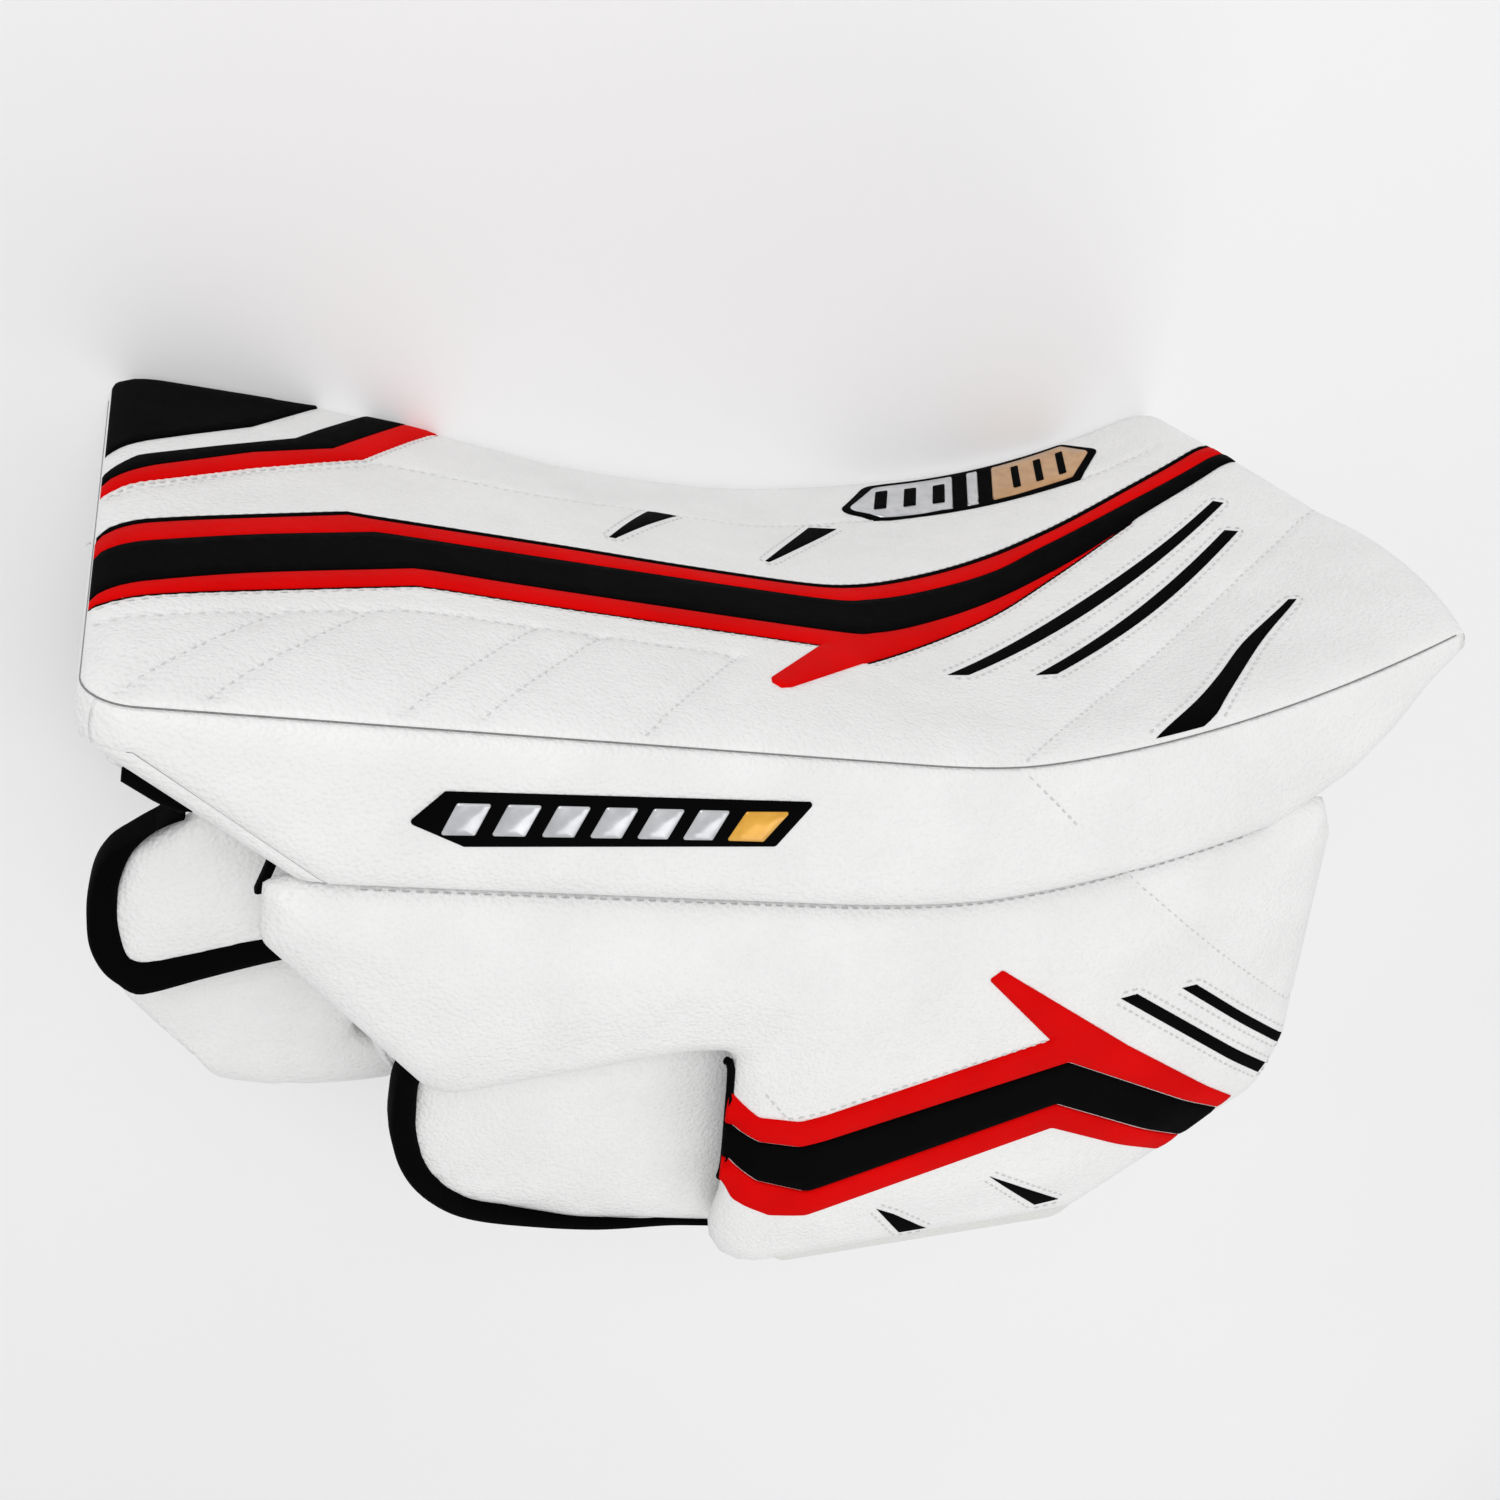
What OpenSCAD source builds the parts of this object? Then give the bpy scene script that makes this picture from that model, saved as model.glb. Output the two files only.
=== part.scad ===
// Ice hockey goalie blocker: a curved board for the back of the stick hand, with a side
// protector for the index finger, a thumb shield, a padded cuff and a glove inside.
// +X runs from the cuff to the finger end, +Y is the way the strike face points, and
// +Z runs from the little-finger edge, which the blocker lies on, to the thumb edge.

/* [Board] */
// Developed length of the board along its face
board_length = 392; // [388:1:396]
// Width of the board from the little-finger edge to the thumb edge
board_width = 203; // [201:0.5:205]
// Thickness of the board behind the hand
board_thick = 44; // [43:0.5:45]
// Thickness at the cuff end, before the chamfered back
cuff_end_thick = 10; // [8:1:12]
// Distance from the cuff end to the start of the curl
curl_start = 200; // [195:1:205]
// Radius of the curl towards the finger end
curl_radius = 310; // [300:5:330]
// Angle of the folded finger corner on the thumb side
corner_fold = 12.4; // [8:0.2:13]

/* [Cover] */
// Thickness of the synthetic leather panels with their sponge backing
skin = 2.2; // [1.6:0.1:2.4]
// Clearance between neighbouring layers
gap = 0.3; // [0.2:0.05:0.4]
// Height of the sewn-on stripes and accents
applique = 1.0; // [0.6:0.1:1.2]

/* [Side protector] */
// Thickness of the outer padded shell
shell_thick = 11.5; // [10:0.5:11.5]
// Thickness of the plastic insert
insert_thick = 2; // [1.5:0.1:2]
// Thickness of the inner padding
inner_thick = 8; // [6:0.5:8]

/* [Glove] */
// Width of a finger stall
stall_width = 22; // [20:0.5:22.5]
// Height of a finger stall
stall_height = 24; // [22:0.5:24]
// Wall of a finger stall
stall_wall = 2.5; // [2:0.1:3]
// Distance between neighbouring finger stalls
stall_pitch = 24; // [23:0.25:24]

/* [Hidden] */

// The frame's origin, under the middle of the object's box, in the board's own coordinates
frame_x = 192.4;
frame_y = -73.7;

// Crease across the face, from the thumb edge to the finger end
crease_start = 230;
crease_angle = 30;
// The finger end falls back towards the thumb edge, from this width on
end_curve_start = 95;
end_curve = 0.0024;
corner_r = 11;

// Share of the length taken by the end walls
end_share = (skin + gap) / board_length;
// Stations along the board, as fractions of its length, and the thickness there
stations = [0, end_share, 0.05, 0.122, 0.25, 0.38, 0.51, 0.55, 0.59, 0.63, 0.67, 0.71, 0.75,
    0.79, 0.82, 0.85, 0.88, 0.91, 0.94, 0.97, 1 - end_share, 1];
thickness = [[0, cuff_end_thick], [0.122, board_thick - 2], [0.51, board_thick],
    [0.75, board_thick - 1.5], [0.85, board_thick - 2.5], [0.91, board_thick - 12],
    [0.94, board_thick - 21], [0.97, board_thick - 32], [1, 5]];
// Share of the length at which the back turns up into the finger end
end_turn = 0.85;
widths = [0, 2.5, 6, 11, 40, 68, 95, 107, 119, 131, 143, 155, 167, 179, 192, 197, 200.5, 203];
side_wall = skin + gap;

white = [0.93, 0.93, 0.92];
black = [0.05, 0.05, 0.05];
red = [0.85, 0.05, 0.04];
palm_grey = [0.35, 0.35, 0.36];

// ---- The board's face as a bent surface ----
function edge_round(d) = d >= corner_r ? 0 : corner_r - sqrt(corner_r ^ 2 - (corner_r - d) ^ 2);
function start_s(z) = edge_round(max(0, min(z, board_width - z)));
function end_s(z) = board_length - end_curve * max(0, z - end_curve_start) ^ 2
    - edge_round(max(0, z));
function curl(s) = max(0, s - curl_start) / curl_radius * 180 / PI;
function past_crease(s, z) = (s - crease_start) * sin(crease_angle)
    + (z - board_width) * cos(crease_angle);
function face_y(s, z) = curl_radius * (1 - cos(curl(s)))
    + tan(corner_fold) * max(0, past_crease(s, z));
function on_board(s, z, depth) = [min(s, curl_start) + curl_radius * sin(curl(s))
    + depth * sin(curl(s)), face_y(s, z) - depth * cos(curl(s)), z];
function at(f, z, depth) = on_board(start_s(z) + f * (end_s(z) - start_s(z)), z, depth);
function thick(f) = lookup(f, thickness);
function reversed(list) = [for (i = [len(list) - 1:-1:0]) list[i]];
function between(list, low, high) = concat([low],
    [for (v = list) if (v > low + 0.001 && v < high - 0.001) v], [high]);

// A closed solid through rings of points, each ring a line there and a line back
module loft(rings) {
    n = len(rings[0]);
    m = len(rings);
    last = (m - 1) * n;
    // Both lines are split along the same diagonals, so stacked layers stay parallel
    sides = [for (j = [0:m - 2], i = [0:n - 1]) let (a = j * n + i, b = j * n + (i + 1) % n)
        each i < n / 2 ? [[a, b, b + n], [a, b + n, a + n]]
            : [[a, b, a + n], [b, b + n, a + n]]];
    ends = [for (i = [0:n / 2 - 2]) let (a = i, b = i + 1, c = n - 2 - i, d = n - 1 - i)
        each [[c, b, a], [d, c, a], [last + a, last + b, last + c],
            [last + a, last + c, last + d]]];
    polyhedron([for (r = rings) each r], concat(ends, sides), convexity = 6);
}

// A layer of the board between two depths, from share f0 to f1 and width z0 to z1
module layer(f0, f1, z0, z1, top, bottom = undef, extra = 0) {
    fs = between(stations, f0, f1);
    loft([for (z = between(widths, z0, z1)) concat(
        [for (f = fs) at(f, z, top == undef ? thick(f) + gap : top)],
        [for (f = reversed(fs)) at(f, z, bottom == undef ? thick(f) + extra : bottom)])]);
}

// A sewn-on ribbon on the face between two lines of [s, z] points
module ribbon(a, b, lift = gap, steps = 3) {
    function along(line, k) = let (i = floor(k / steps), t = k / steps - i)
        i >= len(line) - 1 ? line[len(line) - 1] : line[i] * (1 - t) + line[i + 1] * t;
    loft([for (k = [0:(len(a) - 1) * steps]) let (p = along(a, k), q = along(b, k)) [
        on_board(p[0], p[1], -lift), on_board(p[0], p[1], -lift - applique),
        on_board(q[0], q[1], -lift - applique), on_board(q[0], q[1], -lift)]]);
}

// Points of a closed outline of [x, y, radius] corners, each corner an arc
function corner_arc(p, q, r) = let (v = [q[0], q[1]], u = [p[0], p[1]] - v,
    w = [r[0], r[1]] - v, a = u / norm(u), b = w / norm(w), half = acos(a * b) / 2,
    c = v + (a + b) / norm(a + b) * q[2] / sin(half), s = v + a * q[2] / tan(half),
    e = v + b * q[2] / tan(half), n = 6)
    q[2] == 0 ? [v] : [for (i = [0:n]) let (t = i / n, m = s * (1 - t) + e * t - c)
        c + m / norm(m) * q[2]];
function rounded(pts) = [for (i = [0:len(pts) - 1])
    each corner_arc(pts[(i + len(pts) - 1) % len(pts)], pts[i], pts[(i + 1) % len(pts)])];

module slab(pts, z0, z1) {
    translate([0, 0, z0]) linear_extrude(z1 - z0) polygon(rounded(pts));
}

module placed() {
    translate([-frame_x, -frame_y, 0]) children();
}

// ---- Board ----
module strike_face() color(white) placed() layer(0, 1, 0, board_width, 0, skin);

module face_foam() color([0.95, 0.93, 0.8]) placed()
    layer(end_share, 1 - end_share, side_wall, board_width - side_wall, side_wall, 5.6);

module board_stiffener() color([0.85, 0.87, 0.9]) placed()
    layer(end_share, 0.94, side_wall, board_width - side_wall, 5.9, 7.9);

module board_core() color([0.3, 0.3, 0.32]) placed()
    layer(end_share, 0.94, side_wall, board_width - side_wall, 8.2, undef);

module radial_gusset() color(white) placed()
    layer(0, 0.985, board_width - skin, board_width, side_wall + 0.3, undef);

module ulnar_gusset() color(white) placed()
    layer(0, 0.985, 0, skin, side_wall, undef);

module cuff_end_gusset() color(white) placed()
    layer(0, skin / board_length, side_wall, board_width - side_wall, side_wall, undef);

module back_panel() color(palm_grey) placed()
    layer(0, end_turn, 0, board_width, undef, undef, gap + 1.6);

module finger_end_gusset() color(white) placed()
    layer(end_turn + 0.002, 1, 0, board_width, undef, undef, gap + skin);

// ---- Sewn-on shapes of the face: lines run from the cuff end to the finger end ----
band_top = [[1, 84], [8, 64], [53, 28], [76, 2]];
band_low = [[1, 91], [14, 68], [42, 45.5], [88, 2]];
band_end = [[1, 98], [22, 71], [73, 36], [101, 2]];
stripe_top = [[1, 127], [10, 110], [37, 94], [70, 85.5], [120, 88.5], [219, 93], [283, 74.5],
    [315, 63.5], [355, 50], [389, 44]];
stripe_black_top = [[1, 135], [10, 122], [37, 109], [72, 96.5], [120, 99.5], [220, 103],
    [282, 84.5], [305, 74], [349, 59], [389, 53]];
stripe_black_low = [[1, 156], [10, 146], [37, 132.5], [80, 118], [120, 122], [213, 127],
    [272, 104.5], [300, 91.5], [345, 71], [389, 62.5]];
stripe_low = [[1, 162], [8, 153.5], [25, 144.5], [79, 126.5], [120, 130.5], [207, 137],
    [272, 111.5], [300, 96.5], [341, 74.5]];
tail = [[[207, 144.5], [171.5, 167]], [[196, 137.5], [170, 161.5]]];
hair = [0, 0.4];
function shifted(line, by) = [for (p = line) p + by];

module corner_patch() color(black) placed()
    ribbon([[1.5, 2], [5, 2], [41, 2], [58, 2]], [[1.5, 66], [5, 57], [41, 22], [60, 3.5]]);

module corner_band_black() color(black) placed() ribbon(band_top, band_low);

module corner_band_red() color(red) placed() ribbon(shifted(band_low, hair), band_end);

module main_stripe_black() color(black) placed()
    ribbon(shifted(stripe_black_top, hair), shifted(stripe_black_low, -hair));

module main_stripe_red() color(red) placed() {
    ribbon(stripe_top, stripe_black_top);
    ribbon([for (i = [0:8]) stripe_black_low[i]], stripe_low);
    ribbon(tail[0], tail[1]);
}

module face_accents() color(black) placed() {
    ribbon([[178.5, 41], [147.5, 74.5]], [[168.5, 40], [145.5, 74]]);
    ribbon([[240.5, 40], [201, 77]], [[230, 39], [199, 76.5]]);
    ribbon([[231, 151.5], [300, 112], [371, 76]], [[238, 152], [305, 115.5], [374, 79]]);
    ribbon([[260, 154], [315, 124], [366, 96]], [[267, 154.5], [319, 127.5], [369, 99]]);
    ribbon([[270, 200], [310, 174], [353, 148.5]], [[286, 200], [306, 185], [354, 150]], 1.2);
}

// A plain lozenge badge with slanted bars
module face_emblem() color([0.75, 0.62, 0.42]) placed() {
    ribbon([[262, 17], [272, 9], [335, 9], [345, 17]], [[262, 19], [272, 27], [335, 27],
        [345, 19]]);
}

module gusset_badge() color(black) placed()
    slab([[70, -25, 1], [77, -16, 1], [171, -13, 1], [164, -27, 1], [84, -31, 1]],
        board_width + gap, board_width + gap + applique);

// ---- Side protector ----
protector_top = board_width;
shell_low = protector_top - shell_thick;
insert_low = shell_low - gap - insert_thick;
inner_low = insert_low - gap - inner_thick;
// Corners of the shell below the board, from the cuff end round to the finger end
shell_corners = [[41, -47.5, 0], [41.5, -63, 9], [92, -115, 15], [160, -100.5, 25],
    [175, -100.5, 6], [188, -160, 30], [187, -193.5, 20], [325, -176, 16], [381, -120, 18],
    [380.5, -97, 20], [352, -14, 10], [344, -4, 0]];
// Line just behind the back of the board, for a layer whose lowest height is z
function back_line(f0, f1, z) = [for (f = reversed(between(stations, f0, f1)))
    let (p = at(f, z, thick(f) + 3)) [p[0], p[1], 0]];

module side_protector_shell() color(white) placed()
    slab(concat(shell_corners, back_line(0.125, 0.85, shell_low)), shell_low, protector_top);

module side_protector_insert() color([0.8, 0.82, 0.85]) placed()
    slab(concat([[66, -49, 0], [66, -62, 8], [96, -101, 12], [176, -90, 20],
        [198, -175, 20], [320, -165, 12], [366, -118, 12], [366, -95, 12], [345, -12, 12],
        [340, -8, 0]], back_line(0.16, 0.82, insert_low)),
        insert_low, insert_low + insert_thick);

module side_protector_padding() color([0.96, 0.96, 0.95]) placed()
    slab(concat([[66, -49, 0], [66, -62, 8], [96, -101, 12], [170, -90, 10],
        [192, -100, 10], [199, -188, 8], [226, -207.5, 8], [336, -196, 12], [355, -165, 25],
        [374, -124, 14], [372, -92, 20], [352, -24, 16], [342, -12, 0]],
        back_line(0.16, 0.82, inner_low)), inner_low, inner_low + inner_thick);

module protector_stripe_black() color(black) placed()
    slab([[183, -126.5, 0], [194, -135, 4], [206, -137, 6], [291, -104.5, 4], [366, -130, 0],
        [357, -142.5, 0], [294, -122, 4], [214, -155.5, 6], [197, -152, 4], [187, -144.5, 0]],
        protector_top + gap, protector_top + gap + applique);

module protector_stripe_red() color(red) placed() {
    slab([[181, -118, 0], [193, -125.5, 4], [203, -126.5, 6], [280, -95, 0], [247.5, -71, 1],
        [251, -67.5, 1], [312, -98, 20], [370, -124.5, 0], [366.5, -129.6, 0],
        [291, -104.1, 4], [206, -136.6, 6], [194, -134.6, 4], [183, -126, 0]],
        protector_top + gap, protector_top + gap + applique);
    slab([[187, -145, 0], [197, -152.5, 4], [214, -156, 6], [294, -122.5, 4], [356.5, -143, 0],
        [351, -149.5, 0], [297, -133, 4], [217, -166.5, 6], [205, -167, 4], [192, -162, 4],
        [187.5, -154, 0]], protector_top + gap, protector_top + gap + applique);
}

module protector_accents() color(black) placed() {
    for (bar = [[[299, -78], [303, -76], [376, -111], [376, -115]],
        [[321, -74.5], [325, -73], [377, -97], [377, -100]],
        [[283, -156], [317, -171.5], [310, -174], [285, -158.5]],
        [[244, -168], [268, -180], [261, -181.5], [246, -170.5]]])
        translate([0, 0, protector_top + gap]) linear_extrude(applique) polygon(bar);
}

module protector_notch_binding() color(black) placed()
    slab([[174.3, -107.5, 0], [176.1, -107, 0], [185.2, -149, 0], [183.4, -150, 0]],
        shell_low, protector_top);

lace_points = [75, 105, 135, 165];

// Lace across the inner corner of the board and the side protector
module protector_lace() color(white) placed() {
    for (x = lace_points)
        hull() {
            translate([x, -50.2, 173]) sphere(r = 1.6, $fn = 12);
            translate([x + 14, -62, inner_low - 2.6]) sphere(r = 1.6, $fn = 12);
        }
}

module lace_eyelets() color([0.7, 0.7, 0.72]) placed() {
    for (x = lace_points) {
        translate([x, -47, 167]) rotate([90, 0, 0]) difference() {
            cylinder(h = 0.8, r = 4.5, $fn = 32);
            translate([0, 0, -1]) cylinder(h = 3, r = 2, $fn = 32);
        }
        translate([x + 14, -69, inner_low - gap - 0.8]) difference() {
            cylinder(h = 0.8, r = 4.5, $fn = 32);
            translate([0, 0, -1]) cylinder(h = 3, r = 2, $fn = 32);
        }
    }
}

// ---- Thumb shield ----
shield_low = 171;
shield_high = 180.3;
shield_outer = [[96, -104, 0], [86, -120, 10], [86, -176, 44], [150, -191, 60],
    [205, -197, 0], [205, -104, 0]];
shield_inner = [[103, -104, 0], [93.5, -122, 8], [94, -172, 38], [152, -187.5, 60],
    [205, -194, 0], [205, -104, 0]];

module thumb_shield_pad() color(white) placed()
    slab(shield_inner, shield_low, shield_high);

module thumb_shield_binding() color(black) placed()
    slab([[96, -104, 0], [86, -120, 10], [86, -176, 44], [150, -191, 60], [205, -197, 0],
        [205, -194.3, 0], [152, -187.8, 60], [93.7, -172.3, 38], [93.2, -122, 8],
        [102.6, -104, 0]], shield_low, shield_high);

// ---- Cuff ----
wing_low = 161;
wing_high = 170.5;

liner_outline = [[6, -20.5, 1], [41, -45, 1], [38, -48.6, 1], [3.5, -26.5, 1]];

module cuff_liner() color(white) placed()
    slab(liner_outline, 12, 175);

module cuff_liner_binding() color(black) placed()
    slab(liner_outline, 175.3, 186);

module cuff_radial_wing() color(white) placed()
    slab([[60, -52, 0], [34, -52, 4], [15.5, -64, 14], [13.5, -92, 5], [19, -94.5, 4],
        [60, -83, 0]], wing_low, wing_high);

module cuff_radial_binding() color(black) placed()
    slab([[33.6, -52, 0], [24, -52, 2], [4, -62, 14], [4, -88, 22], [14, -103.5, 8],
        [60, -89, 0], [60, -83.3, 0], [19, -94.8, 4], [13.2, -92.2, 5], [15.2, -63.8, 14]],
        wing_low, wing_high);

// The flared little-finger side wing, which lies on the ground, as a [y, z] outline
module cuff_ulnar_wing() color(white) placed()
    translate([16, 0, 0]) rotate([90, 0, 90]) linear_extrude(76)
        polygon(rounded([[-53, 24, 2], [-53, 14, 2], [-138, 0, 8], [-150, 0, 5],
            [-150, 10, 4], [-138, 11, 8]]));

module cuff_ulnar_binding() color(black) placed()
    translate([6, 0, 0]) rotate([90, 0, 90]) linear_extrude(9.7)
        polygon(rounded([[-53, 24, 2], [-53, 14, 2], [-138, 0, 8], [-150, 0, 5],
            [-150, 10, 4], [-138, 11, 8]]));

// The wrap under the wrist: a [y, z] section that turns up on the thumb side
pad_section = [[-98, 158.5, 4], [-155, 158.5, 16], [-155, 12, 4], [-151.2, 10.6, 0],
    [-146, 12, 4], [-146, 149.5, 7], [-98, 149.5, 3]];

module cuff_palm_pad() color(white) placed()
    intersection() {
        rotate([90, 0, 90]) linear_extrude(96) polygon(rounded(pad_section));
        slab([[13, -90, 0], [13, -116, 10], [46, -156, 16], [96, -156, 0], [96, -144, 0],
            [76, -144, 3], [76, -90, 0]], 0, 170);
    }

strap_x = 50;
strap_w = 24;
strap_foot = 24;
strap_end = 102;

module strap_anchor() color(white) placed()
    translate([strap_x - 3, -157.5, strap_foot - 10]) cube([strap_w + 2, 2.2, 9]);

module strap_loop_patch() color(black) placed()
    translate([strap_x + 1, -156.5, 50]) cube([strap_w - 4, 1.2, strap_end - 52]);

module wrist_strap() color(white) placed()
    translate([strap_x, -160.6, strap_foot]) cube([strap_w, 2.2, strap_end - strap_foot]);

module strap_hook_patch() color(black) placed()
    translate([strap_x + 1, -158.2, 52]) cube([strap_w - 4, 1.2, strap_end - 56]);

module strap_pull_tab() color(black) placed()
    translate([strap_x + 3, -161.2, strap_end + gap]) cube([strap_w - 6, 3, 14]);

// ---- Glove ----
glove_low = 50.5;
glove_high = 157;
glove_end = 207.6;
back_pad_top = -48.6;
cavity_top = -60;
cavity_low = -98;

module glove_hook_patch() color(black) placed()
    translate([70, -48.3, 72]) cube([110, 1.4, 70]);

module glove_back_pad() color(palm_grey) placed()
    slab([[46, back_pad_top, 2], [46, cavity_top, 2], [glove_end, cavity_top, 0],
        [glove_end, back_pad_top, 0]], glove_low, glove_high);

module glove_palm() color([0.82, 0.78, 0.7]) placed()
    slab([[104, cavity_low, 0], [104, cavity_low - 4, 2], [glove_end - 8, cavity_low - 4, 2],
        [glove_end - 8, cavity_low, 0]], glove_low, glove_high);

// Hard-wearing patch where the stick lies
module palm_patch() color([0.75, 0.7, 0.62]) placed()
    translate([130, cavity_low - 6, 60]) cube([62, 1.7, 86]);

module glove_ulnar_side() color(palm_grey) placed()
    translate([104, cavity_low + gap, glove_low])
        cube([glove_end - 8 - 104, cavity_top - cavity_low - 2 * gap, 5.5]);

module glove_radial_side() color(palm_grey) placed()
    translate([104, cavity_low + gap, glove_high - 5.5])
        cube([glove_end - 8 - 104, cavity_top - cavity_low - 2 * gap, 5.5]);

// Knuckle and finger-joint axes, both along Z on the palm side of the stall
knuckle = [208, -91];
mid_joint = [256, -91];
lean = 14;
function lane(k) = 56.5 + k * stall_pitch;

module stall(outer, inner, z) {
    difference() {
        slab(outer, z, z + stall_width);
        slab(inner, z + stall_wall, z + stall_width - stall_wall);
    }
}

module finger_base(z) color([0.16, 0.16, 0.17]) placed() {
    low = knuckle[1] + 1;
    high = low + stall_height;
    stall([[knuckle[0] + 0.4, low, 0], [knuckle[0] + 9, high, 0],
        [mid_joint[0] - lean, high, 0], [mid_joint[0] - 0.4, low, 0]],
        [[knuckle[0] - 9, low + stall_wall, 0], [knuckle[0] - 9, high - stall_wall, 0],
        [mid_joint[0] + 9, high - stall_wall, 0], [mid_joint[0] + 9, low + stall_wall, 0]], z);
}

tip_length = 41;
module finger_tip(z) color([0.16, 0.16, 0.17]) placed() {
    near = mid_joint[0] + 0.4;
    far = near + 21.6;
    high = knuckle[1] + stall_height;
    low = knuckle[1] - tip_length;
    stall([[near, high, 0], [far, high, 12], [far, low, 10], [near, low, 8]],
        [[near - 5, high - stall_wall, 0], [far - stall_wall, high - stall_wall, 9],
        [far - stall_wall, low + stall_wall, 8], [near + stall_wall, low + stall_wall, 6],
        [near + stall_wall, knuckle[1] + 3.5, 0], [near - 5, knuckle[1] + 3.5, 0]], z);
}

module little_base() finger_base(lane(0));
module little_tip() finger_tip(lane(0));
module ring_base() finger_base(lane(1));
module ring_tip() finger_tip(lane(1));
module middle_base() finger_base(lane(2));
module middle_tip() finger_tip(lane(2));
module index_base() finger_base(lane(3));
module index_tip() finger_tip(lane(3));

// Thumb: a root open to the hand, then two stalls bending about Z
thumb_low = 150;
thumb_high = 170;
thumb_joint = [104, -143];
thumb_mid = [150, -143];

module thumb_root() color([0.16, 0.16, 0.17]) placed()
    difference() {
        slab([[79, -103, 0], [79, -142, 6], [103.4, -142, 0], [103.4, -103, 0]],
            thumb_low, thumb_high);
        slab([[82, -99, 0], [82, -139, 4], [110, -139, 0], [110, -120.5, 0],
            [100.5, -120.5, 0], [100.5, -99, 0]], thumb_low + 2.5, thumb_high - 2.5);
    }

module thumb_base() color([0.16, 0.16, 0.17]) placed()
    difference() {
        slab([[thumb_joint[0] + 0.4, -142, 0], [thumb_joint[0] + 5, -118, 0],
            [thumb_mid[0] - 5, -118, 0], [thumb_mid[0] - 0.4, -142, 0]],
            thumb_low, thumb_high);
        slab([[95, -139.5, 0], [95, -120.5, 0], [160, -120.5, 0], [160, -139.5, 0]],
            thumb_low + 2.5, thumb_high - 2.5);
    }

module thumb_tip() color([0.16, 0.16, 0.17]) placed()
    difference() {
        slab([[thumb_mid[0] + 0.4, -118, 0], [192, -118, 10], [192, -142, 10],
            [thumb_mid[0] + 0.4, -142, 0]], thumb_low, thumb_high);
        slab([[140, -120.5, 0], [189.5, -120.5, 8], [189.5, -139.5, 8], [140, -139.5, 0]],
            thumb_low + 2.5, thumb_high - 2.5);
    }

strike_face();
face_foam();
board_stiffener();
board_core();
radial_gusset();
ulnar_gusset();
cuff_end_gusset();
finger_end_gusset();
back_panel();
corner_patch();
corner_band_black();
corner_band_red();
main_stripe_black();
main_stripe_red();
face_accents();
face_emblem();
gusset_badge();
side_protector_shell();
side_protector_insert();
side_protector_padding();
protector_stripe_black();
protector_stripe_red();
protector_accents();
protector_notch_binding();
protector_lace();
lace_eyelets();
thumb_shield_pad();
thumb_shield_binding();
cuff_liner();
cuff_liner_binding();
cuff_radial_wing();
cuff_radial_binding();
cuff_ulnar_wing();
cuff_ulnar_binding();
cuff_palm_pad();
strap_anchor();
strap_loop_patch();
wrist_strap();
strap_hook_patch();
strap_pull_tab();
glove_hook_patch();
glove_back_pad();
glove_palm();
palm_patch();
glove_ulnar_side();
glove_radial_side();
thumb_root();
thumb_base();
thumb_tip();
index_base();
index_tip();
middle_base();
middle_tip();
ring_base();
ring_tip();
little_base();
little_tip();
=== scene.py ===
import math

import bpy
import numpy as np
from mathutils import Matrix, Vector
from mathutils.geometry import delaunay_2d_cdt


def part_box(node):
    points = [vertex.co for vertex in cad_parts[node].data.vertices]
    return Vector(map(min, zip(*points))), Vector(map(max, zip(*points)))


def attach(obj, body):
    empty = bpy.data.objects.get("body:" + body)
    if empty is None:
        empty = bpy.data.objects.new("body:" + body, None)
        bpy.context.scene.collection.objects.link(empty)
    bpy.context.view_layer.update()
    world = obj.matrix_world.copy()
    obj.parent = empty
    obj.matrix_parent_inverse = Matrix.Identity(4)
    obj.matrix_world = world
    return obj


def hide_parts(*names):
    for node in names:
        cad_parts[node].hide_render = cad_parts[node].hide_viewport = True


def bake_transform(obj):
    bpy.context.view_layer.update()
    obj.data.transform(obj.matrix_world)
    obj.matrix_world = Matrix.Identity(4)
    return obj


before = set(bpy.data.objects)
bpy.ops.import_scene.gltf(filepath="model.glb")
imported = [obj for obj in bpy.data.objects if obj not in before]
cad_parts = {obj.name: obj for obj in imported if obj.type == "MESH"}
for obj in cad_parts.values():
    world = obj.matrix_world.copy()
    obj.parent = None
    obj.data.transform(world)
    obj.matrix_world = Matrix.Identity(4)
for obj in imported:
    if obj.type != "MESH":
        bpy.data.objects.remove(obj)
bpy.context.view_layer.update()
scene = bpy.context.scene

# ---------------------------------------------------------------- the board's own frame, mm
# All shapes are given in the board's coordinates of the CAD: x along the board from the
# cuff end, y outward from the face, z from the little-finger edge to the thumb edge.
ORIGIN = np.array([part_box("strike_face")[0][0] * 1000,
                   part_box("corner_patch")[0][1] * 1000 - 0.3, 0.0])


def metres(points):
    return (np.asarray(points, float) + ORIGIN) / 1000


def P(x, y, z):
    return tuple(metres((x, y, z)))


LENGTH, WIDTH = 392.0, 203.0
CURL_START, CURL_R = 200.0, 310.0
FOLD = math.tan(math.radians(12.4))
CORNER = 11.0
THICK_F = [0, 0.122, 0.51, 0.75, 0.85, 0.91, 0.94, 0.97, 1]
THICK_T = [10, 42, 44, 42.5, 41.5, 32, 23, 12, 5]


def edge_round(d):
    d = np.clip(d, 0, CORNER)
    return CORNER - np.sqrt(CORNER ** 2 - (CORNER - d) ** 2)


def start_s(z):
    return edge_round(np.minimum(z, WIDTH - z))


def end_s(z):
    return LENGTH - 0.0024 * np.maximum(0, z - 95) ** 2 - edge_round(z)


def share(s, z):
    return np.clip((s - start_s(z)) / (end_s(z) - start_s(z)), 0, 1)


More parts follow.
